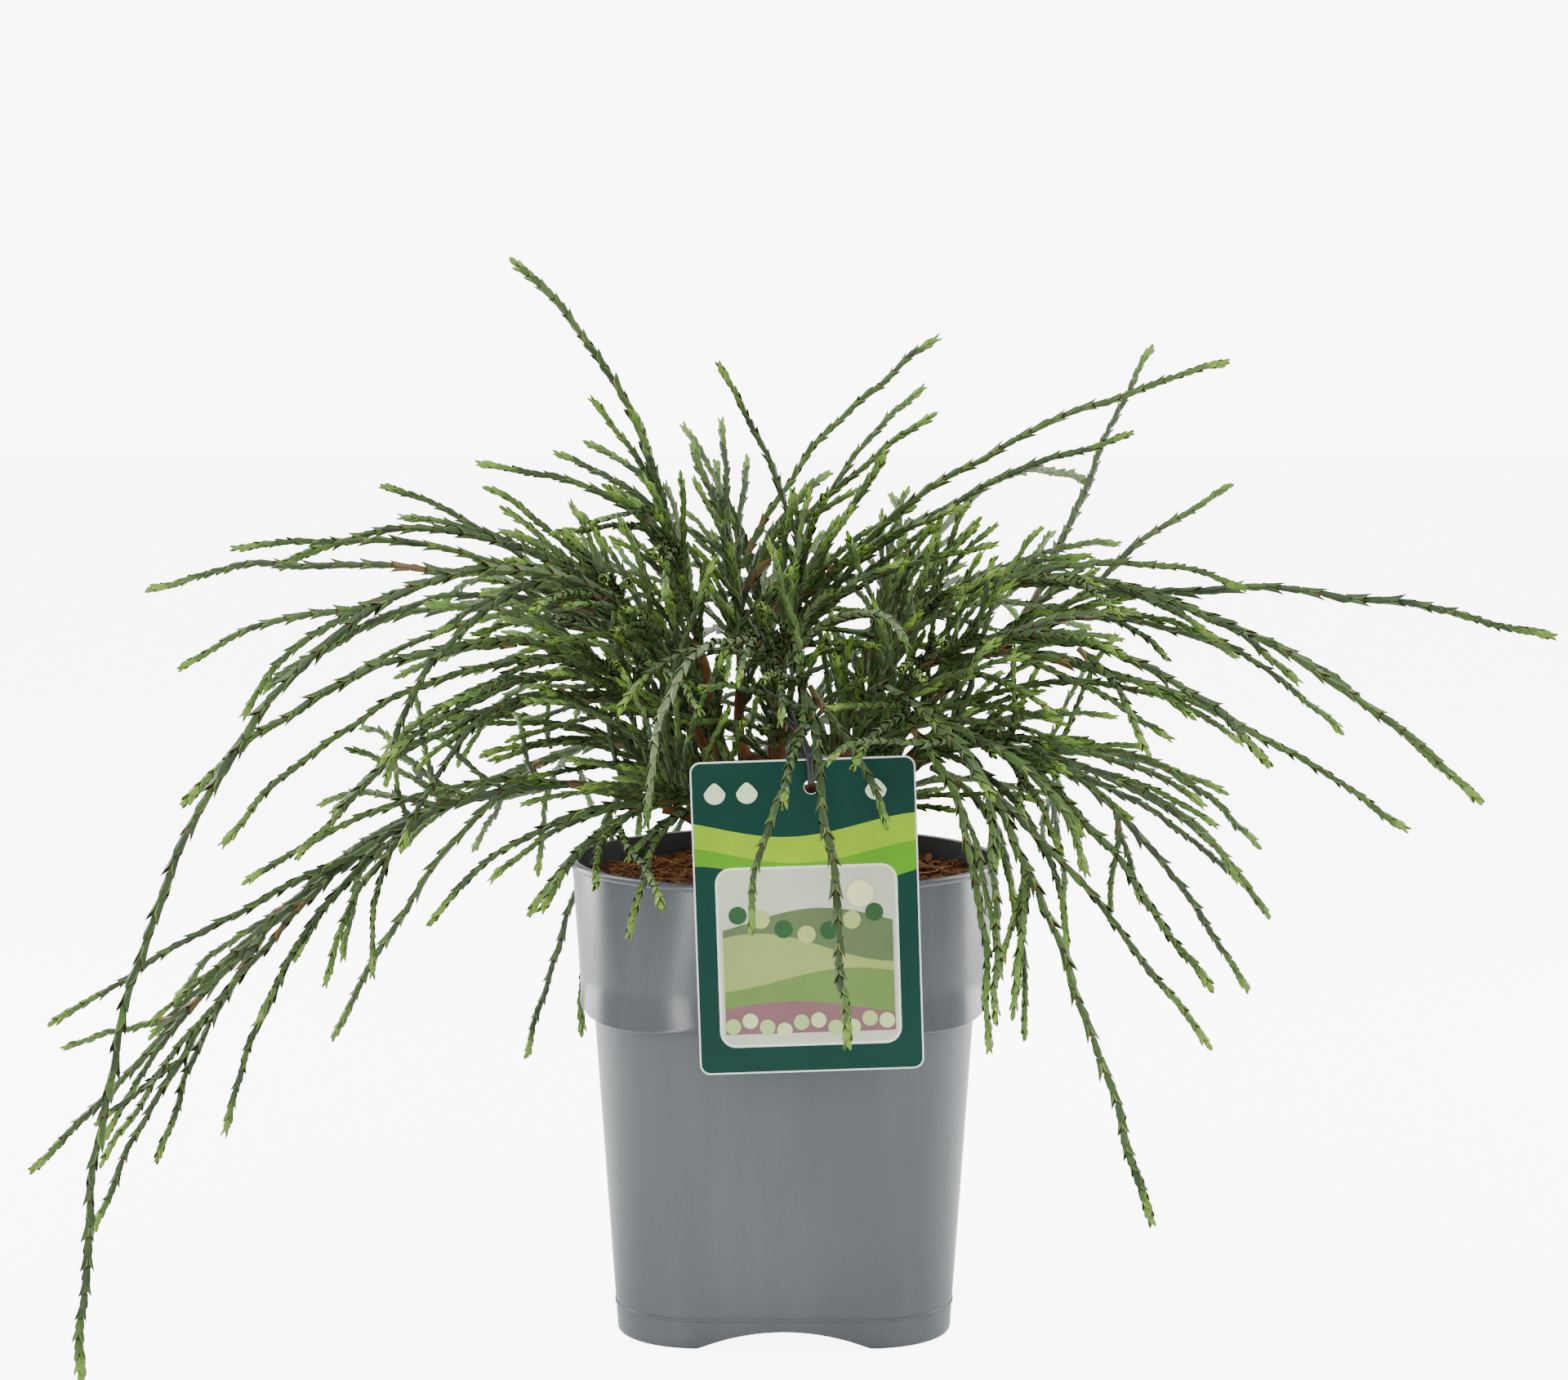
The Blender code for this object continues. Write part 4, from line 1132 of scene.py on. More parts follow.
def stringing_tree() -> bpy.types.NodeTree:
    """Sets a shape on every point, turned and sized by the point's own attributes, and makes it real.

    Returns:
        The tree, built on first use.
    """
    name = "stringing"
    if name in bpy.data.node_groups:
        return bpy.data.node_groups[name]
    tree = Tree(bpy.data.node_groups.new(name, "GeometryNodeTree"))
    tree.tree.is_modifier = True
    tree.socket("Geometry", "NodeSocketGeometry")
    tree.socket("Shape", "NodeSocketObject")
    tree.socket("Finish", "NodeSocketMaterial")
    tree.socket("Lean", "NodeSocketFloat", value=0.1)
    tree.socket("Uneven", "NodeSocketFloat", value=0.08)
    tree.socket("Seed", "NodeSocketInt", value=1)
    tree.socket("Geometry", "NodeSocketGeometry", output=True)
    given = tree.add("NodeGroupInput")
    turn = tree.add("GeometryNodeInputNamedAttribute", {"Name": "turn"}, data_type="FLOAT_VECTOR")
    size = tree.add("GeometryNodeInputNamedAttribute", {"Name": "size"}, data_type="FLOAT_VECTOR")
    facing = tree.add("FunctionNodeEulerToRotation", {0: turn.outputs["Attribute"]})
    shape = tree.add("GeometryNodeObjectInfo", {"Object": given.outputs["Shape"]})
    less = tree.add("ShaderNodeMath", {0: 1.0, 1: given.outputs["Uneven"]}, operation="SUBTRACT")
    more = tree.add("ShaderNodeMath", {0: 1.0, 1: given.outputs["Uneven"]}, operation="ADD")
    odds = tree.add("FunctionNodeRandomValue", {"Seed": given.outputs["Seed"]}, data_type="FLOAT")
    tree.tree.links.new(less.outputs[0], odds.inputs[2])
    tree.tree.links.new(more.outputs[0], odds.inputs[3])
    scaled = tree.add("ShaderNodeVectorMath", {0: size.outputs["Attribute"]}, operation="SCALE")
    tree.tree.links.new(odds.outputs[1], scaled.inputs["Scale"])
    strung = tree.add(
        "GeometryNodeInstanceOnPoints",
        {
            "Points": given.outputs["Geometry"],
            "Instance": shape.outputs["Geometry"],
            "Rotation": facing.outputs[0],
            "Scale": scaled.outputs[0],
        },
    )
    back = tree.add("ShaderNodeMath", {0: 0.0, 1: given.outputs["Lean"]}, operation="SUBTRACT")
    low = tree.add("ShaderNodeCombineXYZ", {0: back.outputs[0], 1: back.outputs[0], 2: back.outputs[0]})
    lean = given.outputs["Lean"]
    high = tree.add("ShaderNodeCombineXYZ", {0: lean, 1: lean, 2: lean})
    tilt = tree.add("FunctionNodeRandomValue", {"Seed": given.outputs["Seed"]}, data_type="FLOAT_VECTOR")
    tree.tree.links.new(low.outputs[0], tilt.inputs[0])
    tree.tree.links.new(high.outputs[0], tilt.inputs[1])
    tilted = tree.add("FunctionNodeEulerToRotation", {0: tilt.outputs[0]})
    leaning = tree.add(
        "GeometryNodeRotateInstances", {"Instances": strung.outputs[0], "Rotation": tilted.outputs[0]}
    )
    real = tree.add("GeometryNodeRealizeInstances", {"Geometry": leaning.outputs[0]})
    dressed = tree.add(
        "GeometryNodeSetMaterial", {"Geometry": real.outputs[0], "Material": given.outputs["Finish"]}
    )
    tree.add("NodeGroupOutput", {"Geometry": dressed.outputs[0]})
    return tree.tree


@dataclass
class Stringing:
    """Points that each carry a shape, with a turn and a size."""

    places: list[np.ndarray] = field(default_factory=list)
    turns: list[tuple[float, float, float]] = field(default_factory=list)
    sizes: list[tuple[float, float, float]] = field(default_factory=list)

    def add(self, place: np.ndarray, axes: Sequence[np.ndarray], size: tuple[float, float, float]) -> None:
        """Adds a point: its place, its three axes as columns, and its size along each.

        Args:
            place: The point.
            axes: Its three axes.
            size: Its size along each.
        """
        turn = Matrix(np.stack(axes, axis=1).tolist()).to_euler("XYZ")
        self.places.append(place)
        self.turns.append(tuple(turn))
        self.sizes.append(size)

    def string(
        self, name: str, shape: bpy.types.Object, finish: bpy.types.Material, lean: float, uneven: float, seed: int
    ) -> bpy.types.Object:
        """Makes the shapes real as one plain mesh.

        Args:
            name: The piece's name.
            shape: What each point carries.
            finish: Its material.
            lean: Random tilt, radians.
            uneven: Random share of the size.
            seed: Seed of both.

        Returns:
            The piece.
        """
        guide = new_object(name, mesh_of(name, np.array(self.places), [], smooth=False))
        for label, values in (("turn", self.turns), ("size", self.sizes)):
            layer = guide.data.attributes.new(label, "FLOAT_VECTOR", "POINT")
            layer.data.foreach_set("vector", np.array(values, dtype=np.float32).ravel())
        tree = stringing_tree()
        setting = {"Shape": shape, "Finish": finish, "Lean": lean, "Uneven": uneven, "Seed": seed}
        modifier = guide.modifiers.new("stringing", "NODES")
        modifier.node_group = tree
        for item in tree.interface.items_tree:
            if item.item_type == "SOCKET" and item.in_out == "INPUT" and item.name in setting:
                modifier[item.identifier] = setting[item.name]
        mesh = as_mesh(guide, name)
        for label in ("turn", "size"):
            if label in mesh.attributes:
                mesh.attributes.remove(mesh.attributes[label])
        return new_object(name, mesh)


@dataclass
class Foliage:
    """All whips and twigs, strung with pairs of scale leaves."""

    growth: Growth
    step: float = 6.0 * MM  # from pair to pair on an ordinary whip
    close_step: float = 2.4 * MM  # at the tip
    leaf_least: float = 4.4 * MM  # length of the leaves where the pairs are closer than that
    bud: float = 9 * MM  # length of the fat bright tip
    waves: tuple[float, float] = (60 * MM, 29 * MM)  # of a whip's slow waver
    long_whip: float = 220 * MM  # length from which a whip is at its stoutest
    seed: int = 5

    def build(self) -> None:
        """Builds the twigs and every shade of the leaves."""
        self.strings = {tone: Stringing() for tone in Tone}
        self.sleeves: list[tuple[np.ndarray, np.ndarray]] = []
        chance = random.Random(self.seed)
        for number, shoots in enumerate(self.growth.masses):
            for place, shoot in enumerate(shoots):
                self._dress(shoot, (LIMBS[number].name, place) in PALE_WHIPS, chance)
        masses = [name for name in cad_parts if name.startswith("mass_")]
        self._build_twigs(masses)
        for number, (tone, stringing) in enumerate(self.strings.items()):
            leaf = SHORT_LEAF if tone in (Tone.BUD, Tone.YOUNG) else LONG_LEAF
            finishes = TINTS[tone].finishes(tone)
            for margin, finish, part in zip((False, True), finishes, ("backs", "margins")):
                shape = leaf.build(margin)
                name = f"leaf_{part}_{tone.value}"
                piece = stringing.string(name, shape, finish.make(), 0.07, 0.08, self.seed + number)
                piece.data.shade_flat()
                finish_piece(piece, "foliage", *masses)
                bpy.data.objects.remove(shape)
        LOG.info("leaf pairs: %d", sum(len(stringing.places) for stringing in self.strings.values()))

    def _runs(self, length: float, stretch: float) -> list[float]:
        """Distances from the tip of the pairs of a whip, outermost first.

        Args:
            length: The whip's length.
            stretch: Share by which its pairs are spread.

        Returns:
            The distances.
        """
        runs = [self.close_step]
        while runs[-1] < length:
            gap = min(self.step * stretch, self.close_step + 0.07 * runs[-1])
            runs.append(runs[-1] + gap)
        return runs[:-1]

    def _dress(self, shoot: Shoot, pale: bool, chance: random.Random) -> None:
        """Strings one whip.

        Args:
            shoot: The whip.
            pale: Whether it is one of the pale ones.
            chance: The seeded source of all its odds.
        """
        length = path_length(shoot.path)
        stretch = chance.uniform(0.78, 1.2) * (1.4 if length > self.long_whip else 1.0)
        runs = np.array(self._runs(length, stretch)[::-1])
        places = along(shoot.path, length - runs)
        places = self._swayed(places, length - runs, length, chance)
        ends = np.vstack((places[1:], along(shoot.path, (length,))))
        _, side, other = frames_along(np.vstack((places, ends[-1:])))
        radius = self._radius(shoot, runs, length)
        pale = pale or (shoot.order > 1 and chance.random() < 0.03)
        tone = Tone.PALE if pale else (Tone.OLD if chance.random() < 0.55 else Tone.GREEN)
        young = self.bud * chance.uniform(1.0, 3.2)
        spin = chance.uniform(0, math.pi)
        for number, (place, end, run) in enumerate(zip(places, ends, runs)):
            angle = spin + (number % 2) * math.pi / 2 + number * 0.05
            heading = unit(end - place)
            first = side[number] * math.cos(angle) + other[number] * math.sin(angle)
            first = unit(first - heading * first.dot(heading))
            second = np.cross(heading, first)
            size = (radius[number], radius[number], max(np.linalg.norm(end - place), self.leaf_least))
            shown = self._tone_at(tone, run, length, shoot, young, chance)
            self.strings[shown].add(place, (first, second, heading), size)
        self.sleeves.append((np.vstack((places, ends[-1:])), np.append(radius * 0.6, 0.2 * MM)))

    def _swayed(self, places: np.ndarray, runs: np.ndarray, length: float, chance: random.Random) -> np.ndarray:
        """The places moved off the smooth arch by a slow waver that grows from the root.

        Args:
            places: The places on the arch.
            runs: Their distances from the root.
            length: The whip's length.
            chance: The seeded source of all odds.

        Returns:
            The places after the waver.
        """
        waver = np.zeros_like(places)
        for axis in range(3):
            for wave in self.waves:
                phase = chance.uniform(0, 2 * math.pi)
                size = chance.uniform(0.15, 0.45) * MM * wave / self.waves[1]
                waver[:, axis] += size * np.sin(2 * math.pi * runs / wave + phase)
        ease = np.minimum(runs / (40 * MM), 1) * np.minimum((length - runs) / (12 * MM), 1)
        return places + waver * ease[:, None]

    def _radius(self, shoot: Shoot, runs: np.ndarray, length: float) -> np.ndarray:
        """Radius of every pair: an even taper, a fat bud and a point.

        Args:
            shoot: The whip.
            runs: Distances of its pairs from the tip.
            length: Its length.

        Returns:
            A radius for each pair.
        """
        stout = 0.9 if shoot.order == 0 else 0.72 + 0.16 * min(length / self.long_whip, 1)
        even = shoot.radius * stout * (0.84 + 0.22 * runs / length)
        bulge = 1 + 0.16 * np.clip(1 - np.abs(runs - 0.6 * self.bud) / (0.6 * self.bud), 0, 1)
        point = np.clip((runs + 2.0 * MM) / (6 * MM), 0.35, 1)
        return even * bulge * point

    def _tone_at(
        self, tone: Tone, run: float, length: float, shoot: Shoot, young: float, chance: random.Random
    ) -> Tone:
        """The shade at a distance from the tip.

        Args:
            tone: The whip's main shade.
            run: The distance from the tip.
            length: The whip's length.
            shoot: The whip.
            young: Length of its young growth, with the bud.
            chance: The seeded source of all odds.

        Returns:
            The shade.
        """
        if run < self.bud * chance.uniform(0.7, 1.1):
            return Tone.BUD if tone is not Tone.PALE else Tone.YOUNG
        if run < young and tone is not Tone.PALE:
            return Tone.YOUNG
        if shoot.order < 2 and run > 0.8 * length and chance.random() < 0.25:
            return Tone.BROWN
        if chance.random() < 0.12 and tone is not Tone.PALE:
            return Tone.GREEN if tone is Tone.OLD else Tone.OLD
        return tone

    def _build_twigs(self, masses: Sequence[str]) -> None:
        """The twigs inside the leaves, as four-sided tubes.

        Args:
            masses: The solids that the twigs stand for.
        """
        curve = bpy.data.curves.new("twigs", "CURVE")
        curve.dimensions = "3D"
        curve.bevel_depth = MM
        curve.bevel_resolution = 0
        curve.use_fill_caps = True
        for path, radii in self.sleeves:
            spline = curve.splines.new("POLY")
            spline.points.add(len(path) - 1)
            spline.points.foreach_set("co", np.hstack((path, np.ones((len(path), 1)))).ravel())
            spline.points.foreach_set("radius", radii / MM)
        guide = bpy.data.objects.new("twigs", curve)
        bpy.context.scene.collection.objects.link(guide)
        finish = Finish("twig_wood", srgb(96, 74, 40), srgb(56, 62, 32), 0.7, 150.0)
        piece = new_object("twigs", as_mesh(guide, "twigs"), finish.make())
        finish_piece(piece, "foliage", *masses)


# Trunk and boughs


@dataclass
class Wood:
    """The trunk and the boughs, with the relief of stringy bark."""

    trunk_sides: int = 40
    trunk_rings: int = 44
    bough_sides: int = 12
    bough_rings: int = 16
    seed: int = 3

    def build(self) -> None:
        """Builds trunk and boughs as one piece."""
        chance = random.Random(self.seed)
        meshes = [self._trunk(chance)]
        meshes += [self._bough(limb, chance) for limb in LIMBS if limb.foot]
        bark = Finish(
            "stringy_bark", srgb(112, 74, 44), srgb(62, 42, 28), 0.85, 220.0, (1, 1, 0.18), 900.0, 0.0006, specular=0.2
        )
        piece = new_object("bark", joined("bark", meshes), bark.make())
        piece.data.shade_smooth()
        nodes = [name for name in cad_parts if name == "trunk" or name.startswith("bough_")]
        finish_piece(piece, "bark", *nodes)

    def _strings(self, angle: float, run: float, strands: Sequence[tuple[float, float]]) -> float:
        """Height of the bark's strings at a place, from -1 to 1.

        Args:
            angle: Radians round.
            run: Distance along.
            strands: Count and phase of each wave.

        Returns:
            The height.
        """
        waves = [math.sin(count * angle + phase + 40 * run) for count, phase in strands]
        return sum(waves) / len(waves)

    def _trunk(self, chance: random.Random) -> bpy.types.Mesh:
        """The trunk: flared, stringy, a little uneven.

        Args:
            chance: The seeded source of all odds.

        Returns:
            The mesh.
        """
        strands = [(count, chance.uniform(0, 6.28)) for count in (5, 9, 13)]
        heights = np.linspace(SIZES.trunk_foot, SIZES.trunk_tip, self.trunk_rings)
        rings = []
        for height in heights:
            middle = trunk_middle(height)
            ring = []
            for step in range(self.trunk_sides):
                angle = 2 * math.pi * step / self.trunk_sides
                radius = trunk_radius(height) * (0.95 + 0.05 * self._strings(angle, height, strands))
                ring.append(Vector((middle[0] + radius * math.cos(angle), radius * math.sin(angle), height)))
            rings.append(ring)
        return loft("trunk_bark", rings)

    def _bough(self, limb: Limb, chance: random.Random) -> bpy.types.Mesh:
        """A bough: from just inside the trunk to its tip, with a collar where it leaves.

        Args:
            limb: The limb.
            chance: The seeded source of all odds.

        Returns:
            The mesh.
        """
        smooth = bough_path(limb, 12)
        inward = smooth[0] - unit(smooth[1] - smooth[0]) * 1.5 * MM
        smooth = np.vstack((inward[None], smooth))
        path = along(smooth, np.linspace(0, path_length(smooth), self.bough_rings))
        _, side, other = frames_along(path)
        strands = [(count, chance.uniform(0, 6.28)) for count in (3, 5)]
        rings = []
        for number, place in enumerate(path):
            share = number / (self.bough_rings - 1)
            radius = SIZES.bough_radius + (SIZES.bough_tip_radius - SIZES.bough_radius) * share
            radius *= 1 + 0.35 * math.exp(-share * 14)
            ring = []
            for step in range(self.bough_sides):
                angle = 2 * math.pi * step / self.bough_sides
                reach = radius * (0.94 + 0.07 * self._strings(angle, 3 * share, strands))
                across = side[number] * math.cos(angle) + other[number] * math.sin(angle)
                ring.append(Vector(place + across * reach))
            rings.append(ring)
        return loft(f"bark_{limb.name}", rings)


# Pot and soil


@dataclass
class Pot:
    """The nursery pot: round rim and collar, rounded-square foot, two crossing arched channels."""

    sides: int = 120
    collar_radius: float = 79.5 * MM
    collar_edge: float = 127 * MM
    collar_wave: float = 3 * MM
    body_top: float = 74.5 * MM
    body_foot: float = 65 * MM
    wall: float = 1.6 * MM
    floor: float = 10 * MM
    foot_edge: float = 2 * MM
    seam: float = 12 * MM  # height of the fine mould line round the foot
    arch_width: float = 68 * MM
    arch_rise: float = 7 * MM
    arch_sides: int = 240
    inner_levels: tuple[float, ...] = (170 * MM, 158 * MM, 146 * MM, 134 * MM)  # rings of the inside, downwards
    inner_step: tuple[float, float] = (73.4 * MM, 78.6 * MM)  # half widths under and over its step at the collar
    sharp: float = 34  # degrees; an edge that turns more stays sharp

    def corner_share(self, height: float) -> float:
        """Corner radius as a share of the half width."""
        return float(np.interp(height, (0, self.collar_edge, SIZES.pot_height), (0.5, 0.76, 1.0)))

    def section(self, height: float, half: float, wave: float = 0.0) -> list[Vector]:
        """A ring: a square with round corners, whose corners may dip by wave.

        Args:
            height: The ring's height.
            half: Its half width.
            wave: How far it rises and dips.

        Returns:
            The ring.
        """
        corner = half * self.corner_share(height)
        inner = half - corner
        ring = []
        for step in range(self.sides):
            angle = 2 * math.pi * (step + 0.5) / self.sides
            level = sorted((abs(math.cos(angle)), abs(math.sin(angle))))
            if half * level[0] <= inner * level[1]:
                reach = half / level[1]
            else:
                run = inner * sum(level)
                reach = run + math.sqrt(run**2 - 2 * inner**2 + corner**2)
            rise = height + wave * math.cos(4 * angle)
            ring.append(Vector((reach * math.cos(angle), reach * math.sin(angle), rise)))
        return ring

    def body_half(self, height: float) -> float:
        """Half width of the body under the collar."""
        return float(np.interp(height, (self.foot_edge, self.collar_edge), (self.body_foot, self.body_top)))

    def inner_half(self, height: float) -> float:
        """Half width of the space inside at a height.

        Args:
            height: The height.

        Returns:
            The half width.
        """
        rim = SIZES.rim_radius - SIZES.rim_lip - self.wall
        heights = (self.floor, self.inner_levels[-1], self.inner_levels[-2], SIZES.pot_height)
        return float(np.interp(height, heights, (self.body_foot - self.wall, *self.inner_step, rim)))

    def outer_rings(self) -> list[list[Vector]]:
        """The rings of the outside, from the foot up to the rim's inner edge.

        Returns:
            The rings.
        """
        rings = []
        for angle in np.linspace(0, math.pi / 2, 5):
            inset = self.foot_edge * (1 - math.sin(angle))
            rings.append(self.section(self.foot_edge * (1 - math.cos(angle)), self.body_foot - inset))
        for height, proud in ((-0.9, 0.0), (-0.5, 0.35), (0.1, 0.35), (0.3, 0.0), (0.6, 0.0)):
            height = self.seam + height * MM
            rings.append(self.section(height, self.body_half(height) + proud * MM))
        for height in np.linspace(self.seam + 4 * MM, self.collar_edge - 8 * MM, 9):
            rings.append(self.section(height, self.body_half(height)))
        edge = self.collar_edge
        for height, inset in ((-1.2, 5.0), (-1.0, 1.4), (-0.6, 0.2), (0.0, -0.25), (0.8, -0.25), (1.3, 0.0)):
            rings.append(self.section(edge + height * MM, self.collar_radius - inset * MM, self.collar_wave))
        under = SIZES.pot_height - 3 * MM
        collar = SIZES.rim_radius - SIZES.rim_lip
        for share in (0.2, 0.4, 0.6, 0.8, 1.0):
            height = edge + 4 * MM + share * (under - edge - 4 * MM)
            half = self.collar_radius + share * (collar - self.collar_radius)
            rings.append(self.section(height, half, self.collar_wave * (1 - share) ** 2))
        for angle in np.linspace(-90, 90, 9):
            turn = math.radians(angle)
            bulge = SIZES.rim_lip * math.cos(turn)
            rings.append(self.section(SIZES.pot_height - 1.5 * MM * (1 - math.sin(turn)), collar + bulge))
        return rings

    def build(self) -> None:
        """Builds the pot and cuts its channels."""
        inside = [SIZES.pot_height - 0.4 * MM, *self.inner_levels, self.floor]
        rings = self.outer_rings() + [self.section(height, self.inner_half(height)) for height in inside]
        pot = new_object("pot_shell", loft("pot_shell", rings))
        radius = (self.arch_width**2 / 4 + self.arch_rise**2) / (2 * self.arch_rise)
        cutters = []
        for turn in ((0, math.pi / 2, 0), (math.pi / 2, 0, 0)):
            place = (0, 0, self.arch_rise - radius)
            bpy.ops.mesh.primitive_cylinder_add(
                vertices=self.arch_sides, radius=radius, depth=4 * self.body_foot, location=place, rotation=turn
            )
            cutters.append(bpy.context.object)
            channel = pot.modifiers.new("channel", "BOOLEAN")
            channel.operation = "DIFFERENCE"
            channel.object = cutters[-1]
        piece = new_object("pot_shell", as_mesh(pot, "pot_shell"), PotPlastic().make())
        for cutter in cutters:
            bpy.data.objects.remove(cutter)
        piece.data.shade_smooth()
        piece.data.set_sharp_from_angle(angle=math.radians(self.sharp))
        finish_piece(piece, "pot_plastic", "pot")


@dataclass(frozen=True)
class PotPlastic:
    """Moulded grey plastic: faint upright flow streaks, a soft sheen and a few dark specks."""

    tint: Colour = srgb(78, 83, 86)
    shade: Colour = srgb(70, 75, 78)
    roughness: float = 0.2
    speck: Colour = srgb(52, 50, 48)
    speck_cells: float = 52.0  # a metre
    speck_radius: float = 0.032  # as a share of a cell
    speck_least: float = 0.86  # share of the cells that have none

    def make(self) -> bpy.types.Material:
        """The material.

        Returns:
            The material.
        """
        made = Finish(
            "grey_moulding", self.tint, self.shade, self.roughness, 38.0, (1, 1, 0.12), 1500.0, 0.00003
        ).make()
        tree = Tree(made.node_tree)
        shader = made.node_tree.nodes["Principled BSDF"]
        flow = shader.inputs["Base Color"].links[0].from_socket
        place = tree.add("ShaderNodeTexCoord")
        cells = tree.add("ShaderNodeTexVoronoi", {"Vector": place.outputs["Object"], "Scale": self.speck_cells})
        near = {0: cells.outputs["Distance"], 1: self.speck_radius}
        speck = tree.add("ShaderNodeMath", near, operation="LESS_THAN")
        split = tree.add("ShaderNodeSeparateColor", {0: cells.outputs["Color"]})
        few = tree.add("ShaderNodeMath", {0: split.outputs[0], 1: self.speck_least}, operation="GREATER_THAN")
        mask = tree.add("ShaderNodeMath", {0: speck.outputs[0], 1: few.outputs[0]}, operation="MULTIPLY")
        mix = tree.add("ShaderNodeMix", {"Factor": mask.outputs[0]}, data_type="RGBA")
        tree.tree.links.new(flow, mix.inputs[6])
        mix.inputs[7].default_value = (*self.speck, 1)
        tree.tree.links.new(mix.outputs[2], shader.inputs["Base Color"])
        return made


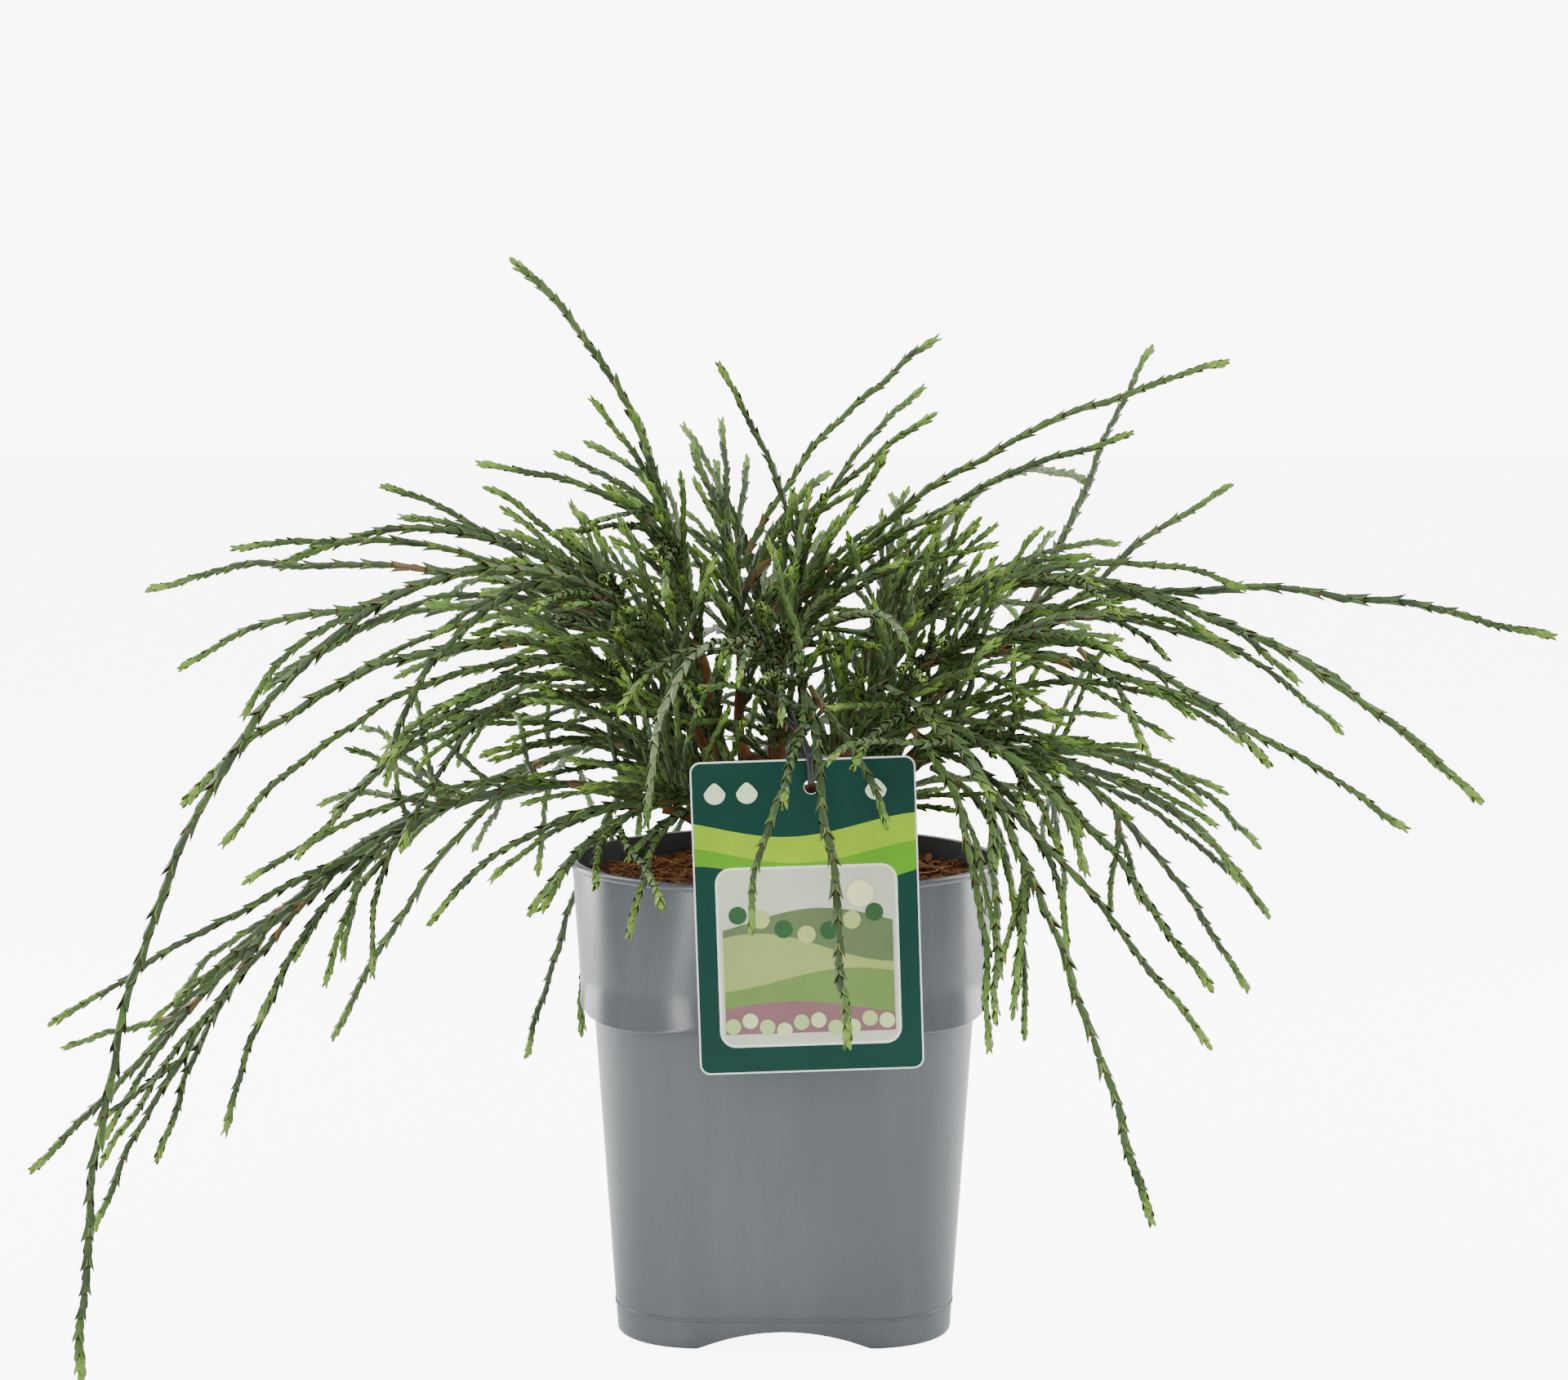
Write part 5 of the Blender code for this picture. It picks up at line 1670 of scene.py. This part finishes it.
@dataclass
class Soil:
    """Bark and coir soil: a rough mound with chips and fibres lying on it."""

    pot: Pot
    rings: int = 30
    sides: int = 96
    chips: int = 900
    fibres: int = 700
    clear: float = 0.6 * MM  # from the pot's wall
    under: float = 150 * MM  # level of the bed's flat underside
    under_share: float = 0.97  # its width, as a share of the surface's
    seed: int = 17

    def height_at(self, x: float, y: float) -> float:
        """Height of the surface at a place: hollows and humps, level where the trunk stands.

        Args:
            x: Place across.
            y: Place in depth.

        Returns:
            The height.
        """
        bumps = (
            1.1 * math.sin(x / (9 * MM) + 1.3) * math.sin(y / (11 * MM) + 0.4)
            + 0.8 * math.sin(x / (4.6 * MM) + 2.0 * math.sin(y / (7 * MM)))
            + 0.5 * math.sin(y / (3.1 * MM) + x / (5 * MM))
        )
        reach = math.hypot(x, y)
        ease = min(max((reach - SIZES.trunk_flare - MM) / (12 * MM), 0), 1)
        return SIZES.soil_top + (bumps * ease - 0.6) * MM

    def build(self) -> None:
        """Builds the surface, the chips and the fibres."""
        edge = self.pot.inner_half(SIZES.soil_top) - self.clear
        share = self.under_share
        base = [Vector((p.x * share, p.y * share, self.under)) for p in self._ring(edge, False)]
        rings = [base]
        for step in range(self.rings + 1):
            reach = edge * (1 - step / self.rings) ** 0.9
            rings.append(self._ring(max(reach, 0.4 * MM), True))
        mesh = loft("soil_bed", rings)
        finish = Finish("damp_soil", srgb(104, 70, 44), srgb(54, 34, 22), 0.95, 260.0, (1, 1, 1), 700.0, 0.002, 0.15)
        piece = new_object("soil_bed", mesh, finish.make())
        piece.data.shade_smooth()
        finish_piece(piece, "soil", "soil")
        chance = random.Random(self.seed)
        self._strew("soil_chips", self._chip(), self.chips, edge, chance, (2.0, 6.5), srgb(122, 76, 44))
        self._strew("soil_fibres", self._fibre(), self.fibres, edge, chance, (5.0, 15.0), srgb(176, 128, 78))

    def _ring(self, reach: float, rough: bool) -> list[Vector]:
        """A ring of the surface at a distance from the middle.

        Args:
            reach: The distance.
            rough: Whether it follows the surface.

        Returns:
            The ring.
        """
        ring = []
        for step in range(self.sides):
            angle = 2 * math.pi * step / self.sides
            x, y = reach * math.cos(angle), reach * math.sin(angle)
            ring.append(Vector((x, y, self.height_at(x, y) if rough else 0.0)))
        return ring

    def _chip(self) -> bpy.types.Object:
        """A flat splinter of bark, 1 long.

        Returns:
            The hidden object.
        """
        outline = ((-0.5, -0.12), (-0.1, -0.22), (0.45, -0.1), (0.5, 0.12), (0.0, 0.24), (-0.42, 0.16))
        points = [(x, y, z) for z in (-0.07, 0.07) for x, y in outline]
        count = len(outline)
        faces = [tuple(range(count))[::-1], tuple(range(count, 2 * count))]
        faces += [(i, (i + 1) % count, (i + 1) % count + count, i + count) for i in range(count)]
        return self._hidden("chip", points, faces)

    def _fibre(self) -> bpy.types.Object:
        """A bowed three-sided straw of coir, 1 long.

        Returns:
            The hidden object.
        """
        points, faces = [], []
        for step in range(5):
            run = step / 4 - 0.5
            for corner in range(3):
                turn = 2 * math.pi * corner / 3
                points.append((run, 0.14 * (0.25 - run**2) * 4 + 0.02 * math.cos(turn), 0.02 * math.sin(turn)))
        for step in range(4):
            for corner in range(3):
                low = step * 3 + corner
                after = step * 3 + (corner + 1) % 3
                faces.append((low, after, after + 3, low + 3))
        return self._hidden("fibre", points, faces)

    def _hidden(self, name: str, points: Sequence[tuple], faces: Sequence[tuple]) -> bpy.types.Object:
        """An object that only serves as a shape.

        Args:
            name: Its name.
            points: Its points.
            faces: Its faces.

        Returns:
            The object.
        """
        made = new_object(name, mesh_of(name, np.array(points), faces, smooth=False))
        made.hide_render = True
        return made

    def _strew(
        self,
        name: str,
        shape: bpy.types.Object,
        count: int,
        edge: float,
        chance: random.Random,
        lengths: tuple[float, float],
        colour: Colour,
    ) -> None:
        """Scatters a shape over the surface.

        Args:
            name: The piece's name.
            shape: What is scattered.
            count: How many.
            edge: How far from the middle they may lie.
            chance: The seeded source of all odds.
            lengths: Shortest and longest, mm.
            colour: Their colour.
        """
        stringing = Stringing()
        for _ in range(count):
            length = chance.uniform(*lengths) * MM
            reach = (edge - 0.62 * length) * math.sqrt(chance.uniform(0.03, 1))
            angle = chance.uniform(0, 2 * math.pi)
            x, y = reach * math.cos(angle), reach * math.sin(angle)
            first = direction(chance.uniform(0, 360), chance.uniform(-14, 14))
            second = unit(np.cross(direction(chance.uniform(0, 360), chance.uniform(55, 90)), first))
            place = np.array((x, y, self.height_at(x, y) + chance.uniform(0.2, 1.1) * MM))
            stringing.add(place, (first, second, np.cross(first, second)), (length,) * 3)
        dark = tuple(0.45 * channel for channel in colour)
        finish = Finish(name, colour, dark, 0.9, 160.0, specular=0.15)
        piece = stringing.string(name, shape, finish.make(), 0.2, 0.2, self.seed)
        finish_piece(piece, "soil")
        bpy.data.objects.remove(shape)


# Card and strap


@dataclass
class Card:
    """The printed card: a thin plate with round corners and a punched hole, with a plain picture of fields."""

    corner: float = 4 * MM
    turn: float = 1.9  # degrees, its right side up
    hole_radius: float = 2.6 * MM
    hole: tuple[float, float] = (3 * MM, 48.5 * MM)
    layer: float = 0.03 * MM  # height of one layer of print over the next
    bare: float = 0.6 * MM  # unprinted edge
    inset: float = 1.2 * MM  # of the fields in their frame
    band_steps: int = 40

    @property
    def place(self) -> Matrix:
        """Where the card's own x and y axes lie in the plant's frame."""
        middle = Matrix.Translation((SIZES.card_x, SIZES.card_back - SIZES.card_thickness / 2, SIZES.card_z))
        return middle @ Matrix.Rotation(math.radians(-self.turn), 4, "Y") @ Matrix.Rotation(math.pi / 2, 4, "X")

    def rounded(
        self, width: float, height: float, corner: float, middle: tuple[float, float] = (0, 0)
    ) -> list[tuple[float, float]]:
        """The outline of a rectangle with round corners, in the card's plane.

        Args:
            width: Its width.
            height: Its height.
            corner: Radius of its corners.
            middle: Its middle.

        Returns:
            The outline.
        """
        outline = []
        for quarter, (side, top) in enumerate(((1, 1), (-1, 1), (-1, -1), (1, -1))):
            for step in range(9):
                angle = math.radians(90 * (quarter + step / 8))
                x = middle[0] + side * (width / 2 - corner) + corner * math.cos(angle)
                y = middle[1] + top * (height / 2 - corner) + corner * math.sin(angle)
                outline.append((x, y))
        return outline

    def disc(self, x: float, y: float, radius: float, count: int = 40) -> list[tuple[float, float]]:
        """The outline of a disc.

        Args:
            x: Middle across.
            y: Middle up.
            radius: Its radius.
            count: How many points.

        Returns:
            The outline.
        """
        turns = [2 * math.pi * step / count for step in range(count)]
        return [(x + radius * math.cos(turn), y + radius * math.sin(turn)) for turn in turns]

    def flat(self, name: str, outlines: Sequence[Outline], thickness: float, z: float) -> bpy.types.Mesh:
        """Flat outlines as one mesh in the plant's frame; an outline inside another is a hole.

        Args:
            name: The mesh's name.
            outlines: The outlines.
            thickness: How thick it is.
            z: How far its middle is over the card's.

        Returns:
            The mesh.
        """
        curve = bpy.data.curves.new(name, "CURVE")
        curve.dimensions = "2D"
        curve.fill_mode = "BOTH"
        curve.extrude = thickness / 2
        for outline in outlines:
            spline = curve.splines.new("POLY")
            spline.points.add(len(outline) - 1)
            for number, (x, y) in enumerate(outline):
                spline.points[number].co = (x, y, 0, 1)
            spline.use_cyclic_u = True
        guide = bpy.data.objects.new(name, curve)
        bpy.context.scene.collection.objects.link(guide)
        mesh = as_mesh(guide, name)
        mesh.transform(self.place @ Matrix.Translation((0, 0, z)))
        return mesh

    def build(self) -> None:
        """Builds the plate and its layers of print."""
        outline = self.rounded(SIZES.card_width, SIZES.card_height, self.corner)
        hole = self.disc(*self.hole, self.hole_radius, 24)
        plate = Finish("card_board", srgb(236, 238, 232), srgb(226, 230, 222), 0.3, 60.0)
        mesh = self.flat("card_plate", (outline, hole), SIZES.card_thickness, 0)
        finish_piece(new_object("card_plate", mesh, plate.make()), "card", "plant_tag")
        front = SIZES.card_thickness / 2
        for number, (name, colour, outlines) in enumerate(self.artwork()):
            ink = Finish(f"ink_{name}", colour, tuple(0.88 * channel for channel in colour), 0.35, 40.0, specular=0.2)
            height = front + (number + 1) * self.layer
            mesh = self.flat(f"print_{name}", outlines, self.layer / 2, height)
            finish_piece(new_object(f"print_{name}", mesh, ink.make()), "card")

    def band(self, low: Curve, high: Curve, left: float, right: float) -> list[tuple[float, float]]:
        """The outline between two curves y(x), given as functions of x.

        Args:
            low: The lower curve.
            high: The upper one.
            left: Where it starts.
            right: Where it ends.

        Returns:
            The outline.
        """
        xs = np.linspace(left, right, self.band_steps + 1)
        return [(x, high(x)) for x in xs] + [(x, low(x)) for x in xs[::-1]]

    def artwork(self) -> list[tuple[str, Colour, list[Outline]]]:
        """The layers of print, from the lowest up: name, colour and outlines.

        Returns:
            The layers.
        """
        wide, tall = SIZES.card_width - 2 * self.bare, SIZES.card_height - 2 * self.bare
        hole = self.disc(*self.hole, self.hole_radius + 0.2 * MM, 24)
        half = wide / 2
        left, right = -33 * MM, 33 * MM
        floor, roof = -48 * MM, 18 * MM
        sky = self.rounded(right - left, roof - floor, 5 * MM, (0, (roof + floor) / 2))

        def hill(base: float, rise: float, shift: float) -> Curve:
            """A wave about a level, in millimetres."""
            return lambda x: (base + rise * math.cos((x / MM - shift) / 17)) * MM

        def at(level: float) -> Curve:
            """A level line, in millimetres."""
            return lambda x: level * MM

        fields = (left + self.inset, right - self.inset)
        layers = [
            ("ground", srgb(0, 54, 44), [self.rounded(wide, tall, 3.4 * MM), hole]),
            ("lime", srgb(140, 184, 10), [self.band(hill(15, -5, 10), hill(34, -4, -6), -half, half)]),
            ("lime_low", srgb(88, 156, 16), [self.band(hill(15, -5, 10), hill(24, -4, -2), -half, half)]),
            ("frame_line", srgb(232, 240, 220), [self.rounded(68 * MM, 68 * MM, 6 * MM, (0, -15 * MM))]),
            ("sky", srgb(196, 204, 178), [sky]),
            ("far_hill", srgb(92, 112, 74), [self.band(at(-30), hill(-2, 5, 4), *fields)]),
            ("middle_hill", srgb(150, 168, 92), [self.band(at(-40), hill(-12, 6, -20), *fields)]),
            ("near_hill", srgb(104, 134, 66), [self.band(at(-43), hill(-24, 4, 16), *fields)]),
            ("furrows", srgb(128, 92, 96), [self.band(at(-44), hill(-35, 3, -8), *fields)]),
        ]
        trees = [self.disc((-26 + 8.5 * n) * MM, (-3 + 4 * math.cos(n)) * MM, 3.4 * MM) for n in range(7)]
        layers.append(("round_trees", srgb(46, 86, 48), trees[::2]))
        layers.append(("light_trees", srgb(176, 190, 110), trees[1::2]))
        rows = [self.disc((-29 + 6.4 * n) * MM, (-41 + 2.0 * math.sin(1.7 * n)) * MM, 2.9 * MM) for n in range(10)]
        layers.append(("hedge", srgb(170, 200, 120), rows[::2]))
        layers.append(("hedge_light", srgb(198, 218, 150), rows[1::2]))
        layers.append(("sun", srgb(244, 236, 176), [self.disc(20 * MM, 8 * MM, 5 * MM)]))
        drop = [(p[0] * (1 - 0.5 * max(0, p[1] - 47 * MM) / (4 * MM)), p[1]) for p in self.disc(0, 47 * MM, 4 * MM)]
        drops = [[(p[0] + shift * MM, p[1]) for p in drop] for shift in (-33, -21, 27)]
        layers.append(("drops", srgb(214, 236, 190), drops))
        return layers


@dataclass
class Strap:
    """The black plastic strap that holds the card to the front bough."""

    half_width: float = 1.5 * MM
    half_depth: float = 0.75 * MM
    share: float = 0.88  # of the front bough's length, where it goes round
    solid_radius: float = 1.0 * MM
    sides: int = 10

    def route(self) -> np.ndarray:
        """The closed middle line: through the hole, over the card, round the front bough and back.

        Returns:
            The points of the line.
        """
        path = bough_path(next(limb for limb in LIMBS if limb.name == "front"))
        middle, ahead = along(path, (self.share * path_length(path), (self.share + 0.02) * path_length(path)))
        heading = unit(ahead - middle)
        across = unit(np.cross(heading, (0, -1, 0)))
        behind = np.cross(heading, across)
        behind *= math.copysign(1, behind[1])
        radius = SIZES.bough_tip_radius + self.solid_radius + 2 * GAP
        sideways = abs(across[0]) * np.array((1, 0, 0))
        turns = [math.radians(angle) for angle in (180, 135, 90, 45, 0)]
        ring = [middle + radius * (sideways * math.cos(turn) + behind * math.sin(turn)) for turn in turns]
        corners = np.vstack((np.array(STRAP_OUT) * MM, ring, np.array(STRAP_BACK) * MM))
        made = []
        count = len(corners)
        for number in range(count):
            a, b, c, d = (corners[(number + shift) % count] for shift in (-1, 0, 1, 2))
            made.append(bezier((b, b + (c - a) / 6, c - (d - b) / 6, c), 6)[:-1])
        return np.vstack(made)

    def build(self) -> None:
        """Builds the strap as a closed flat band."""
        path = self.route()
        ahead = np.roll(path, -1, axis=0) - np.roll(path, 1, axis=0)
        ahead /= np.linalg.norm(ahead, axis=1)[:, None]
        wide = np.array((1.0, 0.0, 0.0))
        rings = []
        for place, heading in zip(path, ahead):
            side = unit(wide - heading * heading.dot(wide) + 1e-6)
            other = np.cross(heading, side)
            turns = [2 * math.pi * (step + 0.5) / self.sides for step in range(self.sides)]
            across = [(self.half_width * math.cos(turn), self.half_depth * math.sin(turn)) for turn in turns]
            rings.append([Vector(place + side * wide_share + other * deep_share) for wide_share, deep_share in across])
        mesh = loft("strap_band", [*rings, rings[0]], (False, False))
        work = bmesh.new()
        work.from_mesh(mesh)
        bmesh.ops.remove_doubles(work, verts=work.verts, dist=0.001 * MM)
        bmesh.ops.recalc_face_normals(work, faces=work.faces)
        work.to_mesh(mesh)
        work.free()
        finish = Finish("black_band", srgb(30, 30, 33), srgb(22, 22, 24), 0.38, 200.0)
        piece = new_object("strap_band", mesh, finish.make())
        piece.data.shade_smooth()
        finish_piece(piece, "strap_plastic", "tag_strap")


# Studio


@dataclass
class Studio:
    """A pale sweep, soft light from all round and the camera."""

    camera_place: tuple[float, float, float] = (0.0, -1.5, 0.398)
    camera_pitch: float = 5.72  # degrees down
    lens: float = 87.94
    white: Colour = (0.93, 0.94, 0.95)
    floor_glow: float = 7.5
    ambient: float = 0.7
    gloss: float = 0.8
    backdrop: float = 9.0
    floor_size: float = 14.0
    floor_place: tuple[float, float, float] = (0.0, 2.0, -0.0004)
    strip_height: float = 1.6

    def build(self) -> None:
        """Builds the floor, the light and the camera."""
        self._sweep()
        for name, place, power, width in (
            ("front_left", (-1.0, -1.0, 0.6), 13, 0.3),
            ("front_right", (1.0, -1.05, 0.6), 12, 0.3),
            ("back_left", (-0.95, 0.7, 0.6), 24, 0.6),
            ("back_right", (1.0, 0.7, 0.6), 24, 0.6),
        ):
            self._light(f"strip_{name}", place, power, (width, self.strip_height))
        self._light("light_top", (0.0, -0.3, 1.9), 26, (1.6, 1.2))
        world = bpy.data.worlds.new("studio")
        world.use_nodes = True
        back = world.node_tree.nodes["Background"]
        back.inputs["Color"].default_value = (1, 1, 1, 1)
        tree = Tree(world.node_tree)
        seen = tree.add("ShaderNodeLightPath")
        mirrored = tree.add(
            "ShaderNodeMapRange", {"Value": seen.outputs["Is Glossy Ray"], "To Min": self.ambient, "To Max": self.gloss}
        )
        strength = tree.add(
            "ShaderNodeMapRange",
            {"Value": seen.outputs["Is Camera Ray"], "To Min": mirrored.outputs[0], "To Max": self.backdrop},
        )
        tree.tree.links.new(strength.outputs[0], back.inputs["Strength"])
        bpy.context.scene.world = world
        data = bpy.data.cameras.new("camera")
        data.lens = self.lens
        data.sensor_width = 36
        data.clip_start = 0.05
        camera = bpy.data.objects.new("camera", data)
        bpy.context.scene.collection.objects.link(camera)
        camera.location = self.camera_place
        camera.rotation_euler = (math.radians(90 - self.camera_pitch), 0, 0)
        bpy.context.scene.camera = camera

    def _sweep(self) -> None:
        """The floor, as one wide sheet that glows a little, so that it reads as white as the paper behind it."""
        bpy.ops.mesh.primitive_plane_add(size=self.floor_size, location=self.floor_place)
        floor = bpy.context.object
        floor.name = "floor"
        paper = bpy.data.materials.new("paper")
        paper.use_nodes = True
        tree = Tree(paper.node_tree)
        shader = paper.node_tree.nodes["Principled BSDF"]
        shader.inputs["Base Color"].default_value = (*self.white, 1)
        shader.inputs["Roughness"].default_value = 0.8
        shader.inputs["Emission Strength"].default_value = self.floor_glow
        seen = tree.add("ShaderNodeLightPath")
        glow = tree.add("ShaderNodeCombineColor", {n: seen.outputs["Is Camera Ray"] for n in range(3)})
        tree.tree.links.new(glow.outputs[0], shader.inputs["Emission Color"])
        floor.data.materials.append(paper)

    def _light(
        self, name: str, place: tuple[float, float, float], power: float, size: tuple[float, float]
    ) -> None:
        """A soft light aimed at the plant.

        Args:
            name: Its name.
            place: Where it stands.
            power: Its power in watts.
            size: Its width and height.
        """
        data = bpy.data.lights.new(name, "AREA")
        data.shape = "RECTANGLE"
        data.energy = power
        data.size, data.size_y = size
        lamp = bpy.data.objects.new(name, data)
        bpy.context.scene.collection.objects.link(lamp)
        lamp.location = place
        aim = Vector((0, 0, 0.2)) - Vector(place)
        lamp.rotation_euler = aim.to_track_quat("-Z", "Y").to_euler()


def main() -> None:
    """Builds every part of the scene in order."""
    logging.basicConfig(level=logging.INFO, format="%(name)s: %(message)s")
    growth = Growth()
    growth.thicken(core=7, bough_shoots=7, per_length=105 * MM, seed=23)
    LOG.info("whips and twigs: %d", sum(len(shoots) for shoots in growth.masses))
    Foliage(growth).build()
    Wood().build()
    pot = Pot()
    pot.build()
    Soil(pot).build()
    Card().build()
    Strap().build()
    Studio().build()


if __name__ == "__main__":
    main()
